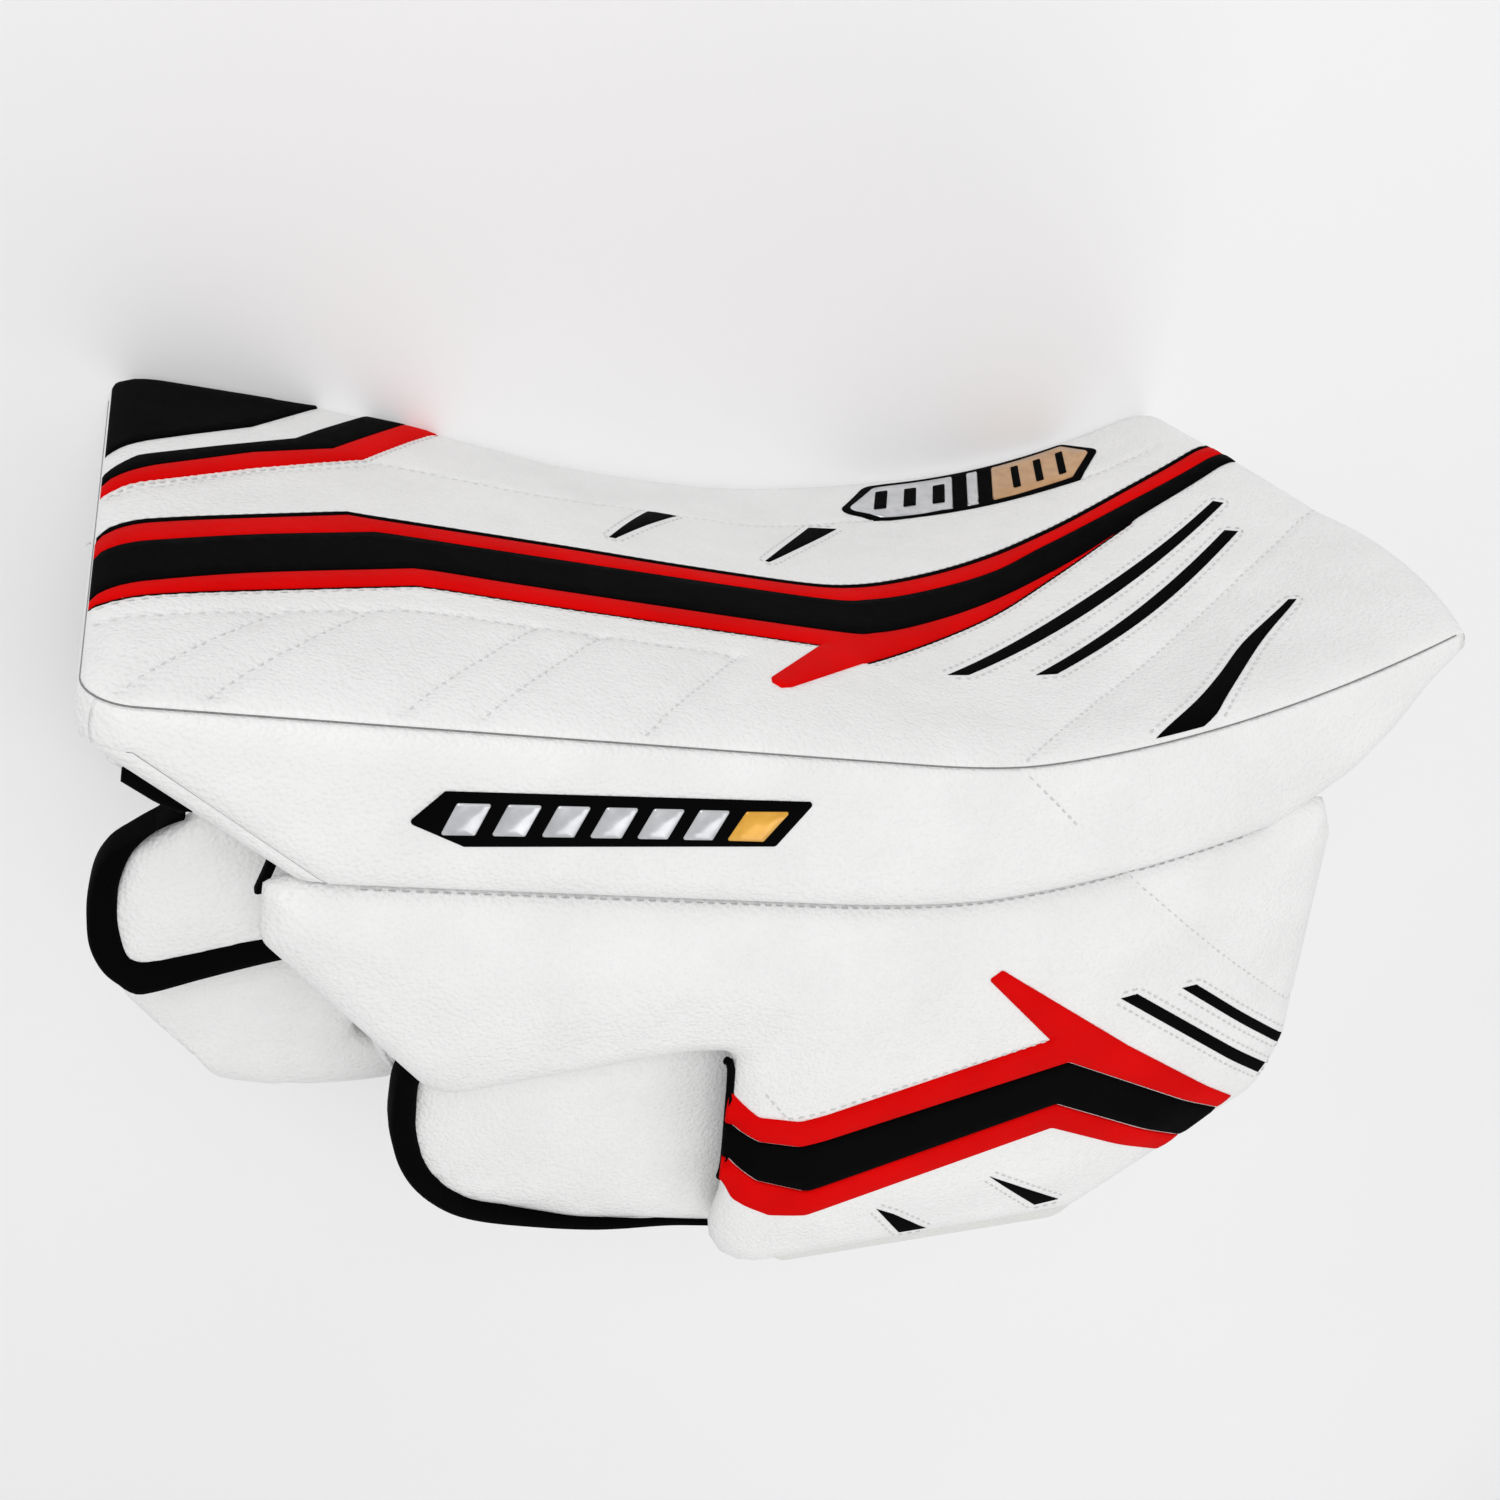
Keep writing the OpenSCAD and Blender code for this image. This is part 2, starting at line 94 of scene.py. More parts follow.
def on_board(s, z, depth):
    """A point at this depth behind the bent face."""
    s, z, depth = np.broadcast_arrays(*[np.asarray(v, float) for v in (s, z, depth)])
    a = np.maximum(0, s - CURL_START) / CURL_R
    past = (s - 230) * 0.5 + (z - WIDTH) * math.cos(math.radians(30))
    fold = FOLD * 0.5 * (past + np.sqrt(past ** 2 + 16)) * (past > -60)
    x = np.minimum(s, CURL_START) + (CURL_R + depth) * np.sin(a)
    y = CURL_R * (1 - np.cos(a)) + fold - depth * np.cos(a)
    return np.stack([x, y, z], -1)


def smooth(t):
    t = np.clip(t, 0, 1)
    return t * t * (3 - 2 * t)


def roll(d, w):
    """A quarter-round edge: 0 at the seam, 1 from w mm inwards."""
    t = 1 - np.clip(d, 0, w) / w
    return np.sqrt(1 - t * t)


# ---------------------------------------------------------------- flat outlines
def rounded(corners, n=6):
    """A closed outline of (x, y, radius) corners, each corner an arc."""
    out = []
    for i, q in enumerate(corners):
        p, r = corners[i - 1], corners[(i + 1) % len(corners)]
        v = np.array(q[:2], float)
        if q[2] == 0:
            out.append(v)
            continue
        u, w = np.array(p[:2]) - v, np.array(r[:2]) - v
        a, b = u / np.linalg.norm(u), w / np.linalg.norm(w)
        half = math.acos(np.clip(a @ b, -1, 1)) / 2
        c = v + (a + b) / np.linalg.norm(a + b) * q[2] / math.sin(half)
        s, e = v + a * q[2] / math.tan(half), v + b * q[2] / math.tan(half)
        for k in range(n + 1):
            m = s * (1 - k / n) + e * k / n - c
            out.append(c + m / np.linalg.norm(m) * q[2])
    return np.array(out)


def resample(line, step, closed=False):
    line = np.asarray(line, float)
    if closed:
        line = np.vstack([line, line[:1]])
    out = []
    for a, b in zip(line[:-1], line[1:]):
        n = max(1, int(math.ceil(np.linalg.norm(b - a) / step)))
        out += [a + (b - a) * k / n for k in range(n)]
    if not closed:
        out.append(line[-1])
    return np.array(out)


def curve(line, step=3.0):
    """A smooth line through the points."""
    p = np.asarray(line, float)
    e = np.vstack([2 * p[0] - p[1], p, 2 * p[-1] - p[-2]])
    out = []
    for i in range(1, len(e) - 2):
        n = max(2, int(np.linalg.norm(e[i + 1] - e[i]) / step))
        for k in range(n):
            t = k / n
            out.append(0.5 * (2 * e[i] + (e[i + 1] - e[i - 1]) * t
                              + (2 * e[i - 1] - 5 * e[i] + 4 * e[i + 1] - e[i + 2]) * t ** 2
                              + (3 * e[i] - e[i - 1] - 3 * e[i + 1] + e[i + 2]) * t ** 3))
    out.append(p[-1])
    return np.array(out)


def distance(points, line, closed=False):
    line = np.asarray(line, float)
    if closed:
        line = np.vstack([line, line[:1]])
    best = np.full(len(points), 1e9)
    for a, b in zip(line[:-1], line[1:]):
        ab = b - a
        t = np.clip(((points - a) @ ab) / max(ab @ ab, 1e-9), 0, 1)
        d = points - a - t[:, None] * ab
        best = np.minimum(best, (d * d).sum(1))
    return np.sqrt(best)


def inside(points, loop):
    x, y = points[:, 0], points[:, 1]
    res = np.zeros(len(points), bool)
    j = len(loop) - 1
    for i in range(len(loop)):
        xi, yi, xj, yj = *loop[i], *loop[j]
        if yi != yj:
            hit = ((yi > y) != (yj > y)) & (x < (xj - xi) * (y - yi) / (yj - yi) + xi)
            res ^= hit
        j = i
    return res


def ccw(loop):
    x, y = loop[:, 0], loop[:, 1]
    area = (x * np.roll(y, -1) - np.roll(x, -1) * y).sum()
    return loop if area > 0 else loop[::-1]


def flat_mesh(outline, step=3.0, rings=()):
    """Triangles over an outline: its points, its triangles, and which points are on its rim."""
    edge = resample(ccw(np.asarray(outline, float)), step, closed=True)
    t = np.roll(edge, -1, 0) - np.roll(edge, 1, 0)
    t /= np.maximum(np.linalg.norm(t, axis=1), 1e-9)[:, None]
    inward = np.stack([-t[:, 1], t[:, 0]], -1)
    pts = [edge]
    for r in rings:
        p = edge + inward * r
        pts.append(p[(distance(p, edge, True) > 0.93 * r) & inside(p, edge)])
    lo, hi = edge.min(0), edge.max(0)
    gx, gy = np.meshgrid(np.arange(lo[0], hi[0], step), np.arange(lo[1], hi[1], step * 0.87))
    gx = gx + (np.arange(gx.shape[0])[:, None] % 2) * step / 2
    g = np.stack([gx.ravel(), gy.ravel()], -1)
    g = g[inside(g, edge)]
    if len(g):
        g = g[distance(g, edge, True) > (rings[-1] if rings else 0) + 0.6 * step]
        pts.append(g)
    n = len(edge)
    res = delaunay_2d_cdt([Vector(p) for p in np.vstack(pts)],
                          [(i, (i + 1) % n) for i in range(n)], [], 1, 1e-5)
    uv = np.array([tuple(v) for v in res[0]])
    tris = np.array([f for f in res[2] if len(f) == 3])
    tris = tris[inside(uv[tris].mean(1), edge)]
    e = np.sort(np.vstack([tris[:, [0, 1]], tris[:, [1, 2]], tris[:, [2, 0]]]), axis=1)
    pairs, counts = np.unique(e, axis=0, return_counts=True)
    rim = np.zeros(len(uv), bool)
    rim[pairs[counts == 1].ravel()] = True
    used = np.zeros(len(uv), bool)
    used[tris.ravel()] = True
    index = np.cumsum(used) - 1
    return uv[used], index[tris], rim[used], edge


# ---------------------------------------------------------------- objects
def make(name, verts, faces, material, slot, nodes=(), body="board", smoothed=True,
         fill=None):
    me = bpy.data.meshes.new(name)
    me.from_pydata(metres(verts).tolist(), [], [list(map(int, f)) for f in faces])
    me.validate()
    me.polygons.foreach_set("use_smooth", [smoothed] * len(me.polygons))
    me.materials.append(material)
    ob = bpy.data.objects.new(name, me)
    scene.collection.objects.link(ob)
    if nodes:
        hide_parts(*nodes)
    if body:
        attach(ob, body)
    return ob


def inflate(ob, held, cap, pressure=4.0):
    """Blows a pad up as cloth, its held points fixed, and keeps the result in the mesh."""
    me = ob.data
    n = len(me.vertices)
    rest = np.empty(n * 3)
    me.vertices.foreach_get("co", rest)
    rest = rest.reshape(-1, 3)
    group = ob.vertex_groups.new(name="held")
    group.add([int(i) for i in np.nonzero(held)[0]], 1.0, "REPLACE")
    mod = ob.modifiers.new("cloth", "CLOTH")
    cloth = mod.settings
    cloth.vertex_group_mass = "held"
    cloth.use_pressure = True
    cloth.uniform_pressure_force = pressure
    cloth.effector_weights.gravity = 0
    cloth.quality = 5
    cloth.mass = 0.15
    cloth.tension_stiffness = cloth.compression_stiffness = 12
    cloth.bending_stiffness = 0.4
    mod.point_cache.frame_start, mod.point_cache.frame_end = 1, 20
    for k in range(1, 21):
        scene.frame_set(k)
    blown = ob.evaluated_get(bpy.context.evaluated_depsgraph_get()).to_mesh()
    co = np.empty(n * 3)
    blown.vertices.foreach_get("co", co)
    ob.evaluated_get(bpy.context.evaluated_depsgraph_get()).to_mesh_clear()
    ob.modifiers.remove(mod)
    ob.vertex_groups.remove(group)
    scene.frame_set(1)
    move = co.reshape(-1, 3) - rest
    far = np.linalg.norm(move, axis=1)
    far_max = cap / 1000
    move *= (far_max * np.tanh(far / far_max) / np.maximum(far, 1e-9))[:, None]
    me.vertices.foreach_set("co", (rest + move).ravel())
    me.update()
    return ob


def grid_solid(outer, inner):
    """A closed sheet between two grids of points."""
    r, c = outer.shape[:2]
    verts = np.vstack([outer.reshape(-1, 3), inner.reshape(-1, 3)])
    k = r * c
    faces = []
    for i in range(r - 1):
        for j in range(c - 1):
            a, b, d, e = i * c + j, i * c + j + 1, (i + 1) * c + j + 1, (i + 1) * c + j
            faces.append((a, b, d, e))
            faces.append((k + e, k + d, k + b, k + a))
    ring = ([(0, j) for j in range(c)] + [(i, c - 1) for i in range(1, r)]
            + [(r - 1, j) for j in range(c - 2, -1, -1)] + [(i, 0) for i in range(r - 2, 0, -1)])
    ids = [i * c + j for i, j in ring]
    for a, b in zip(ids, ids[1:] + ids[:1]):
        faces.append((b, a, k + a, k + b))
    return verts, faces


def pad_solid(outline, place, low, high, mid, edge_w, step=3.0, crown=0.0, crown_w=40.0,
              dents=(), low_w=None):
    """A padded form over an outline. place(u, v, h) gives the point; the top swells up
    from the rim at height mid to high and on by crown."""
    rings = [edge_w * k for k in (0.03, 0.12, 0.3, 0.6)]
    uv, tris, rim, edge = flat_mesh(outline, step, rings)
    d = distance(uv, edge, True)
    top = mid + (high - mid) * roll(d, edge_w) + crown * smooth(d / crown_w)
    for line, depth, width in dents:
        top = top - depth * np.exp(-(distance(uv, line) / width) ** 2) * (d > 0.3)
    bottom = mid + (low - mid) * roll(d, low_w or edge_w)
    up = place(uv[:, 0], uv[:, 1], top)
    dn = place(uv[:, 0], uv[:, 1], bottom)
    idx = np.arange(len(uv))
    under = np.where(rim, idx, len(uv) + np.cumsum(~rim) - 1)
    verts = np.vstack([up, dn[~rim]])
    faces = [tuple(t) for t in tris] + [tuple(under[t][::-1]) for t in tris]
    return verts, faces


def decal_solid(outline, surface, lift=0.9, sunk=0.6, step=3.0):
    """A thin sewn-on shape lying on a surface(u, v, h)."""
    uv, tris, _, edge = flat_mesh(outline, step, (0.5,))
    d = distance(uv, edge, True)
    top = surface(uv[:, 0], uv[:, 1], lift * (0.45 + 0.55 * smooth(d / 0.5)))
    bottom = surface(uv[:, 0], uv[:, 1], np.full(len(uv), -sunk))
    n = len(uv)
    faces = [tuple(t) for t in tris] + [tuple(n + t[::-1]) for t in tris]
    e = {}
    for t in tris:
        for a, b in ((t[0], t[1]), (t[1], t[2]), (t[2], t[0])):
            e[(a, b)] = True
    faces += [(b, a, n + a, n + b) for a, b in e if (b, a) not in e]
    return np.vstack([top, bottom]), faces


def joined(parts):
    verts, faces, k = [], [], 0
    for v, f in parts:
        verts.append(v)
        faces += [tuple(i + k for i in q) for q in f]
        k += len(v)
    return np.vstack(verts), faces


def stitches(lines, surface, pitch=3.3, dash=2.2, r=0.28, lift=0.05):
    """Rows of thread dashes along lines on a surface(u, v, h)."""
    parts = []
    ang = np.linspace(0, 2 * math.pi, 6)[:-1]
    for line in lines:
        line = np.asarray(line, float)
        seg = np.linalg.norm(np.diff(line, axis=0), axis=1)
        at = np.concatenate([[0], np.cumsum(seg)])
        starts = np.arange(0.4, at[-1] - dash, pitch)
        if not len(starts):
            continue
        pos = lambda q: np.stack([np.interp(q, at, line[:, k]) for k in (0, 1)], -1)
        stations = [(0.0, 0.3, -0.25), (0.18, 1.0, 0.1), (0.5, 1.05, 0.2), (0.82, 1.0, 0.1),
                    (1.0, 0.3, -0.25)]
        p0, p1 = pos(starts), pos(starts + dash)
        a3 = surface(p0[:, 0], p0[:, 1], np.zeros(len(p0)))
        b3 = surface(p1[:, 0], p1[:, 1], np.zeros(len(p0)))
        n3 = surface(p0[:, 0], p0[:, 1], np.ones(len(p0))) - a3
        n3 /= np.linalg.norm(n3, axis=1)[:, None]
        t3 = b3 - a3
        t3 /= np.linalg.norm(t3, axis=1)[:, None]
        side = np.cross(t3, n3)
        rings = []
        for f, w, up in stations:
            c = a3 + (b3 - a3) * f + n3 * (lift + up)
            rings.append(c[:, None] + r * w * (np.cos(ang)[None, :, None] * side[:, None]
                                               + 0.8 * np.sin(ang)[None, :, None] * n3[:, None]))
        v = np.stack(rings, 1).reshape(-1, 3)
        m, q = len(ang), len(stations)
        one = [(i * m + j, i * m + (j + 1) % m, (i + 1) * m + (j + 1) % m, (i + 1) * m + j)
               for i in range(q - 1) for j in range(m)]
        one += [tuple(range(m))[::-1], tuple((q - 1) * m + j for j in range(m))]
        faces = [tuple(k * m * q + i for i in f) for k in range(len(starts)) for f in one]
        parts.append((v, faces))
    return joined(parts)


def runs(row, keep, gap=4.0):
    """The stretches of a row that stay inside keep, split where points are missing."""
    row = np.asarray(row, float)[keep]
    cuts = np.nonzero(np.linalg.norm(np.diff(row, axis=0), axis=1) > gap)[0] + 1
    return [r for r in np.split(row, cuts) if len(r) > 1]


def tube(points, radius, sides=8):
    """A round tube along a 3D line."""
    p = np.asarray(points, float)
    t = np.gradient(p, axis=0)
    t /= np.linalg.norm(t, axis=1)[:, None]
    n = np.cross(t[0], [0.13, 0.21, 0.97])
    rows = []
    rr = np.broadcast_to(radius, (len(p),))
    for i in range(len(p)):
        n = n - (n @ t[i]) * t[i]
        n /= np.linalg.norm(n)
        b = np.cross(t[i], n)
        a = np.linspace(0, 2 * math.pi, sides + 1)[:-1]
        rows.append(p[i] + rr[i] * (np.cos(a)[:, None] * n + np.sin(a)[:, None] * b))
    return loops(rows)


def loops(rows):
    """A closed skin through rings of points."""
    m = len(rows[0])
    faces = [(i * m + j, i * m + (j + 1) % m, (i + 1) * m + (j + 1) % m, (i + 1) * m + j)
             for i in range(len(rows) - 1) for j in range(m)]
    faces += [tuple(range(m))[::-1], tuple((len(rows) - 1) * m + j for j in range(m))]
    return np.vstack(rows), faces


def flat(z0=0.0):
    """Maps an outline in x, y to points at height h above z0."""
    return lambda u, v, h: np.stack([u, v, z0 + h], -1)


# ---------------------------------------------------------------- materials
def new_material(name, color, roughness, specular=0.5, coat=0.0):
    m = bpy.data.materials.new(name)
    m.use_nodes = True
    nt = m.node_tree
    b = nt.nodes["Principled BSDF"]
    b.inputs["Roughness"].default_value = roughness
    b.inputs["Specular IOR Level"].default_value = specular
    b.inputs["Coat Weight"].default_value = coat
    b.inputs["Base Color"].default_value = (*color, 1)
    c = nt.nodes.new("ShaderNodeTexCoord")
    return m, nt, b, c.outputs["Object"]


def node(nt, kind, inputs=None, **props):
    n = nt.nodes.new(kind)
    for k, v in props.items():
        setattr(n, k, v)
    for k, v in (inputs or {}).items():
        if isinstance(v, bpy.types.NodeSocket):
            nt.links.new(v, n.inputs[k])
        else:
            n.inputs[k].default_value = v
    return n


def tint(nt, b, coord, dark, light, scale, detail=4.0):
    """Slight uneven colour."""
    noise = node(nt, "ShaderNodeTexNoise", {"Vector": coord, "Scale": scale, "Detail": detail})
    ramp = node(nt, "ShaderNodeValToRGB", {"Fac": noise.outputs["Fac"]})
    ramp.color_ramp.elements[0].position, ramp.color_ramp.elements[1].position = 0.3, 0.7
    ramp.color_ramp.elements[0].color, ramp.color_ramp.elements[1].color = (*dark, 1), (*light, 1)
    nt.links.new(ramp.outputs["Color"], b.inputs["Base Color"])
    return noise


def leather(name, dark, light, roughness, grain=0.00012, cell=850, spread=0.1, specular=0.45):
    """Pebbled grain in two sizes, with slightly uneven gloss."""
    m, nt, b, coord = new_material(name, light, roughness, specular)
    tint(nt, b, coord, dark, light, 45)
    warp = node(nt, "ShaderNodeTexNoise", {"Vector": coord, "Scale": 260.0, "Detail": 2.0})
    mix = node(nt, "ShaderNodeVectorMath", {0: warp.outputs["Color"], 1: (0.0011,) * 3},
               operation="MULTIPLY")
    add = node(nt, "ShaderNodeVectorMath", {0: coord, 1: mix.outputs[0]}, operation="ADD")
    vor = node(nt, "ShaderNodeTexVoronoi", {"Vector": add.outputs[0], "Scale": float(cell)},
               feature="SMOOTH_F1")
    vor.inputs["Smoothness"].default_value = 0.35
    fine = node(nt, "ShaderNodeTexNoise", {"Vector": coord, "Scale": 2600.0, "Detail": 2.0})
    h = node(nt, "ShaderNodeMath", {0: fine.outputs["Fac"], 1: -0.25, 2: vor.outputs["Distance"]},
             operation="MULTIPLY_ADD")
    bump = node(nt, "ShaderNodeBump", {"Height": h.outputs[0], "Strength": 1.0,
                                       "Distance": grain}, invert=True)
    nt.links.new(bump.outputs["Normal"], b.inputs["Normal"])
    gloss = node(nt, "ShaderNodeTexNoise", {"Vector": coord, "Scale": 90.0, "Detail": 5.0})
    rough = node(nt, "ShaderNodeMapRange", {"Value": gloss.outputs["Fac"],
                                            "From Min": 0.3, "From Max": 0.7,
                                            "To Min": roughness - spread / 2,
                                            "To Max": roughness + spread / 2})
    nt.links.new(rough.outputs[0], b.inputs["Roughness"])
    return m


def woven(name, dark, light, roughness, thread, relief=0.00018, sheen=0.3):
    """A plain weave of crossing threads, this many metres apart."""
    m, nt, b, coord = new_material(name, light, roughness, 0.3)
    b.inputs["Sheen Weight"].default_value = sheen
    k = 2 * math.pi / thread
    one = node(nt, "ShaderNodeVectorMath", {0: coord, 1: (k, k, 0)}, operation="DOT_PRODUCT")
    two = node(nt, "ShaderNodeVectorMath", {0: coord, 1: (0.35 * k, -0.35 * k, k)},
               operation="DOT_PRODUCT")
    a = node(nt, "ShaderNodeMath", {0: one.outputs["Value"]}, operation="SINE")
    c = node(nt, "ShaderNodeMath", {0: two.outputs["Value"]}, operation="SINE")
    mul = node(nt, "ShaderNodeMath", {0: a.outputs[0], 1: c.outputs[0]}, operation="MULTIPLY")
    fuzz = node(nt, "ShaderNodeTexNoise", {"Vector": coord, "Scale": 1500.0, "Detail": 3.0})
    h = node(nt, "ShaderNodeMath", {0: mul.outputs[0], 1: 0.5, 2: fuzz.outputs["Fac"]},
             operation="MULTIPLY_ADD")
    bump = node(nt, "ShaderNodeBump", {"Height": h.outputs[0], "Strength": 1.0,
                                       "Distance": relief})
    nt.links.new(bump.outputs["Normal"], b.inputs["Normal"])
    ramp = node(nt, "ShaderNodeValToRGB", {"Fac": h.outputs[0]})
    ramp.color_ramp.elements[0].color, ramp.color_ramp.elements[1].color = (*dark, 1), (*light, 1)
    nt.links.new(ramp.outputs["Color"], b.inputs["Base Color"])
    return m


def fibre(name, dark, light, scale, relief):
    """Hook and loop tape: short tangled fibre."""
    m, nt, b, coord = new_material(name, light, 0.85, 0.2)
    b.inputs["Sheen Weight"].default_value = 0.5
    noise = tint(nt, b, coord, dark, light, scale, 8.0)
    bump = node(nt, "ShaderNodeBump", {"Height": noise.outputs["Fac"], "Strength": 1.0,
                                       "Distance": relief})
    nt.links.new(bump.outputs["Normal"], b.inputs["Normal"])
    return m


def plain(name, dark, light, roughness, scale=120, metallic=0.0, coat=0.0, relief=0.00003):
    """Moulded or metal surface with slight unevenness."""
    m, nt, b, coord = new_material(name, light, roughness, 0.5, coat)
    b.inputs["Metallic"].default_value = metallic
    noise = tint(nt, b, coord, dark, light, scale, 6.0)
    bump = node(nt, "ShaderNodeBump", {"Height": noise.outputs["Fac"], "Strength": 0.6,
                                       "Distance": relief})
    nt.links.new(bump.outputs["Normal"], b.inputs["Normal"])
    return m


WHITE = leather("white_leather", (0.83, 0.83, 0.825), (0.88, 0.88, 0.875), 0.42, 0.0003)
BLACK = leather("black_leather", (0.0015, 0.0015, 0.0018), (0.002, 0.002, 0.0022), 0.8, 0.00005,
                1100, 0.08, 0.02)
RED = leather("red_leather", (0.64, 0.0, 0.0), (0.74, 0.001, 0.001), 0.8, 0.00005, 1100, 0.08,
              0.05)
SILVER = plain("silver_film", (0.55, 0.56, 0.58), (0.7, 0.71, 0.73), 0.28, 200, 0.6, 0.3)
BRONZE = plain("bronze_film", (0.50, 0.27, 0.12), (0.62, 0.36, 0.17), 0.3, 200, 0.35, 0.3)
GOLD = plain("gold_film", (0.75, 0.36, 0.03), (0.9, 0.48, 0.06), 0.3, 200, 0.25, 0.3)
FOAM = fibre("foam_cover", (0.66, 0.66, 0.64), (0.8, 0.8, 0.78), 1800, 0.0001)
PLASTIC = plain("insert_plastic", (0.7, 0.72, 0.74), (0.78, 0.8, 0.82), 0.5)
NYLON = woven("grey_nylon", (0.012, 0.012, 0.014), (0.05, 0.05, 0.055), 0.7, 0.0016)
SUEDE = fibre("palm_suede", (0.34, 0.30, 0.24), (0.5, 0.45, 0.37), 900, 0.00012)
GLOVE = leather("glove_leather", (0.018, 0.018, 0.02), (0.035, 0.035, 0.038), 0.55, 0.0001, 900)
HOOK = fibre("hook_and_loop", (0.006, 0.006, 0.006), (0.03, 0.03, 0.03), 1400, 0.0004)
LACE = woven("lace", (0.5, 0.5, 0.48), (0.8, 0.8, 0.78), 0.7, 0.0011, 0.0002)
EYELET = plain("eyelet_nickel", (0.5, 0.5, 0.51), (0.65, 0.65, 0.66), 0.25, 300, 1.0)
THREAD = woven("white_thread", (0.62, 0.62, 0.62), (0.8, 0.8, 0.79), 0.65, 0.0006, 0.00008)
SEAM = woven("seam_thread", (0.1, 0.1, 0.1), (0.3, 0.3, 0.3), 0.65, 0.0006, 0.00005)
DARK_THREAD = woven("dark_thread", (0.01, 0.01, 0.01), (0.04, 0.04, 0.04), 0.6, 0.0006, 0.00008)

# ---------------------------------------------------------------- camera, light, floor
RIGHT, UP, BACK = ((0.90851, 0.26842, 0.32025), (-0.06790, 0.85105, -0.52068),
                   (-0.41231, 0.45129, 0.79141))
EYE = np.array([4.93, 158.05, 478.88])
cam_data = bpy.data.cameras.new("camera")
cam_data.lens, cam_data.sensor_width = 34.33, 36.0
cam_data.clip_start = 0.01
camera = bpy.data.objects.new("camera", cam_data)
scene.collection.objects.link(camera)
camera.matrix_world = Matrix.Translation(Vector(P(*EYE))) @ Matrix(
    (RIGHT, UP, BACK)).transposed().to_4x4()
scene.camera = camera

floor_mat, nt, bsdf, coord = new_material("pale_floor", (0.93, 0.93, 0.935), 0.6, 0.3)
tint(nt, bsdf, coord, (0.925, 0.925, 0.93), (0.94, 0.94, 0.945), 3)
me = bpy.data.meshes.new("floor")
me.from_pydata([(-4, -4, 0), (4, -4, 0), (4, 4, 0), (-4, 4, 0)], [], [(0, 1, 2, 3)])
me.materials.append(floor_mat)
floor = bpy.data.objects.new("floor", me)
scene.collection.objects.link(floor)

world = bpy.data.worlds.new("studio")
scene.world = world
world.use_nodes = True
world.node_tree.nodes["Background"].inputs["Color"].default_value = (1, 1, 1, 1)
world.node_tree.nodes["Background"].inputs["Strength"].default_value = 0.62


def area_light(name, place, target, size, power):
    data = bpy.data.lights.new(name, "AREA")
    data.size, data.energy = size, power
    ob = bpy.data.objects.new(name, data)
    scene.collection.objects.link(ob)
    ob.location = place
    ob.rotation_euler = (Vector(target) - Vector(place)).to_track_quat("-Z", "Y").to_euler()


area_light("key", (-0.5, 0.9, 1.5), (0, 0, 0.1), 1.0, 11.0)
area_light("fill", (0.9, -1.0, 1.2), (0, 0, 0.1), 1.2, 5.0)
scene.view_settings.view_transform = "Standard"

# ---------------------------------------------------------------- the strike face
DROOP_S = [0, 60, 90, 119, 143, 175, 197, 220, 243, 272, 310, 392]
DROOP_D = [0, 0, 1.5, 4.5, 7.2, 7.6, 7.0, 5, 3.2, 1.8, 2, 2]
far_stitch = [(0.5, 101.6), (21, 85.5), (38, 72), (71, 52.5), (77, 47.5), (124, 52.4),
              (162, 49.5), (202, 50), (239, 41.5), (272, 38.7), (307, 34.5), (348, 36), (376, 33)]
under_stitch = [(0.8, 172.4), (10.8, 168.6), (26, 163), (73, 150.6), (105, 153), (122, 154.5),
                (160.2, 157.3)]
quilt = [[(39.2, 160.5), (7.2, 200.5)], [(61.4, 155), (23.7, 201.5)], [(104, 154), (64.2, 201.5)],
         [(122.1, 154.5), (81.8, 201.5)], [(160.2, 157.3), (121.4, 202)]]
crease = [(229.1, 202.6), (266.4, 177.1), (309.9, 150.8), (350.2, 128.3), (392.5, 108.2)]

red_top = curve([(0.2, 127.5), (4.2, 122.3), (21, 113), (62.6, 94.9)]).tolist() + curve(
    [(69.3, 95.6), (122.2, 98.8), (161.1, 101.9), (200, 103.4), (222, 101), (251, 92),
     (282.5, 80.9), (309.5, 70.5), (349.2, 56.6), (391, 47)]).tolist()
black_top = curve([(0.2, 136.2), (10.2, 130.6), (36.3, 118.3), (68.6, 106.1)]).tolist() + curve(
    [(74, 106.1), (122, 109.3), (200, 113.3), (222, 110.8), (250, 102), (276.7, 92.5),
     (303, 80), (343.4, 66), (391, 56)]).tolist()
black_low = curve([(0.2, 159), (10.6, 153.1), (35.3, 141.6), (76.4, 127.3)]).tolist() + curve(
    [(82, 127.3), (115.1, 130.6), (195, 136.3), (214, 134.3), (240, 124), (266.5, 112.2),
     (300, 96), (326.3, 83.5), (350, 74), (391, 63)]).tolist()
red_low = curve([(0.2, 163), (7.4, 160), (24.2, 153), (76, 136)]).tolist() + curve(
    [(82, 136.2), (113.2, 139.2), (191, 145)]).tolist()
tail = [(165.5, 169.9), (164.8, 172.5), (166.5, 175.2), (170, 174.2)]
red_low_2 = curve([(201.8, 153.8), (232, 137), (262, 120.6), (290, 103.5), (317.8, 87.9),
                   (338, 78)]).tolist()
band_black_top = [(0.3, 84), (8.3, 72.7), (30, 56), (52, 40), (77, 5), (80, 1)]
band_black_low = [(0.3, 90.5), (13.4, 78), (38.9, 57.5), (62.7, 44), (90, 5), (92, 1)]
band_red_low = [(0.3, 98.4), (5.8, 92.4), (21.2, 81.1), (38.4, 68.1), (72, 46.7), (100, 5),
                (103, 1)]
wedges = [[(164.4, 51.5), (174.2, 52.4), (143.8, 84.9), (141.9, 84.5)],
          [(224.8, 49), (235.3, 49.7), (195.2, 87.3), (193.9, 86.9)]]
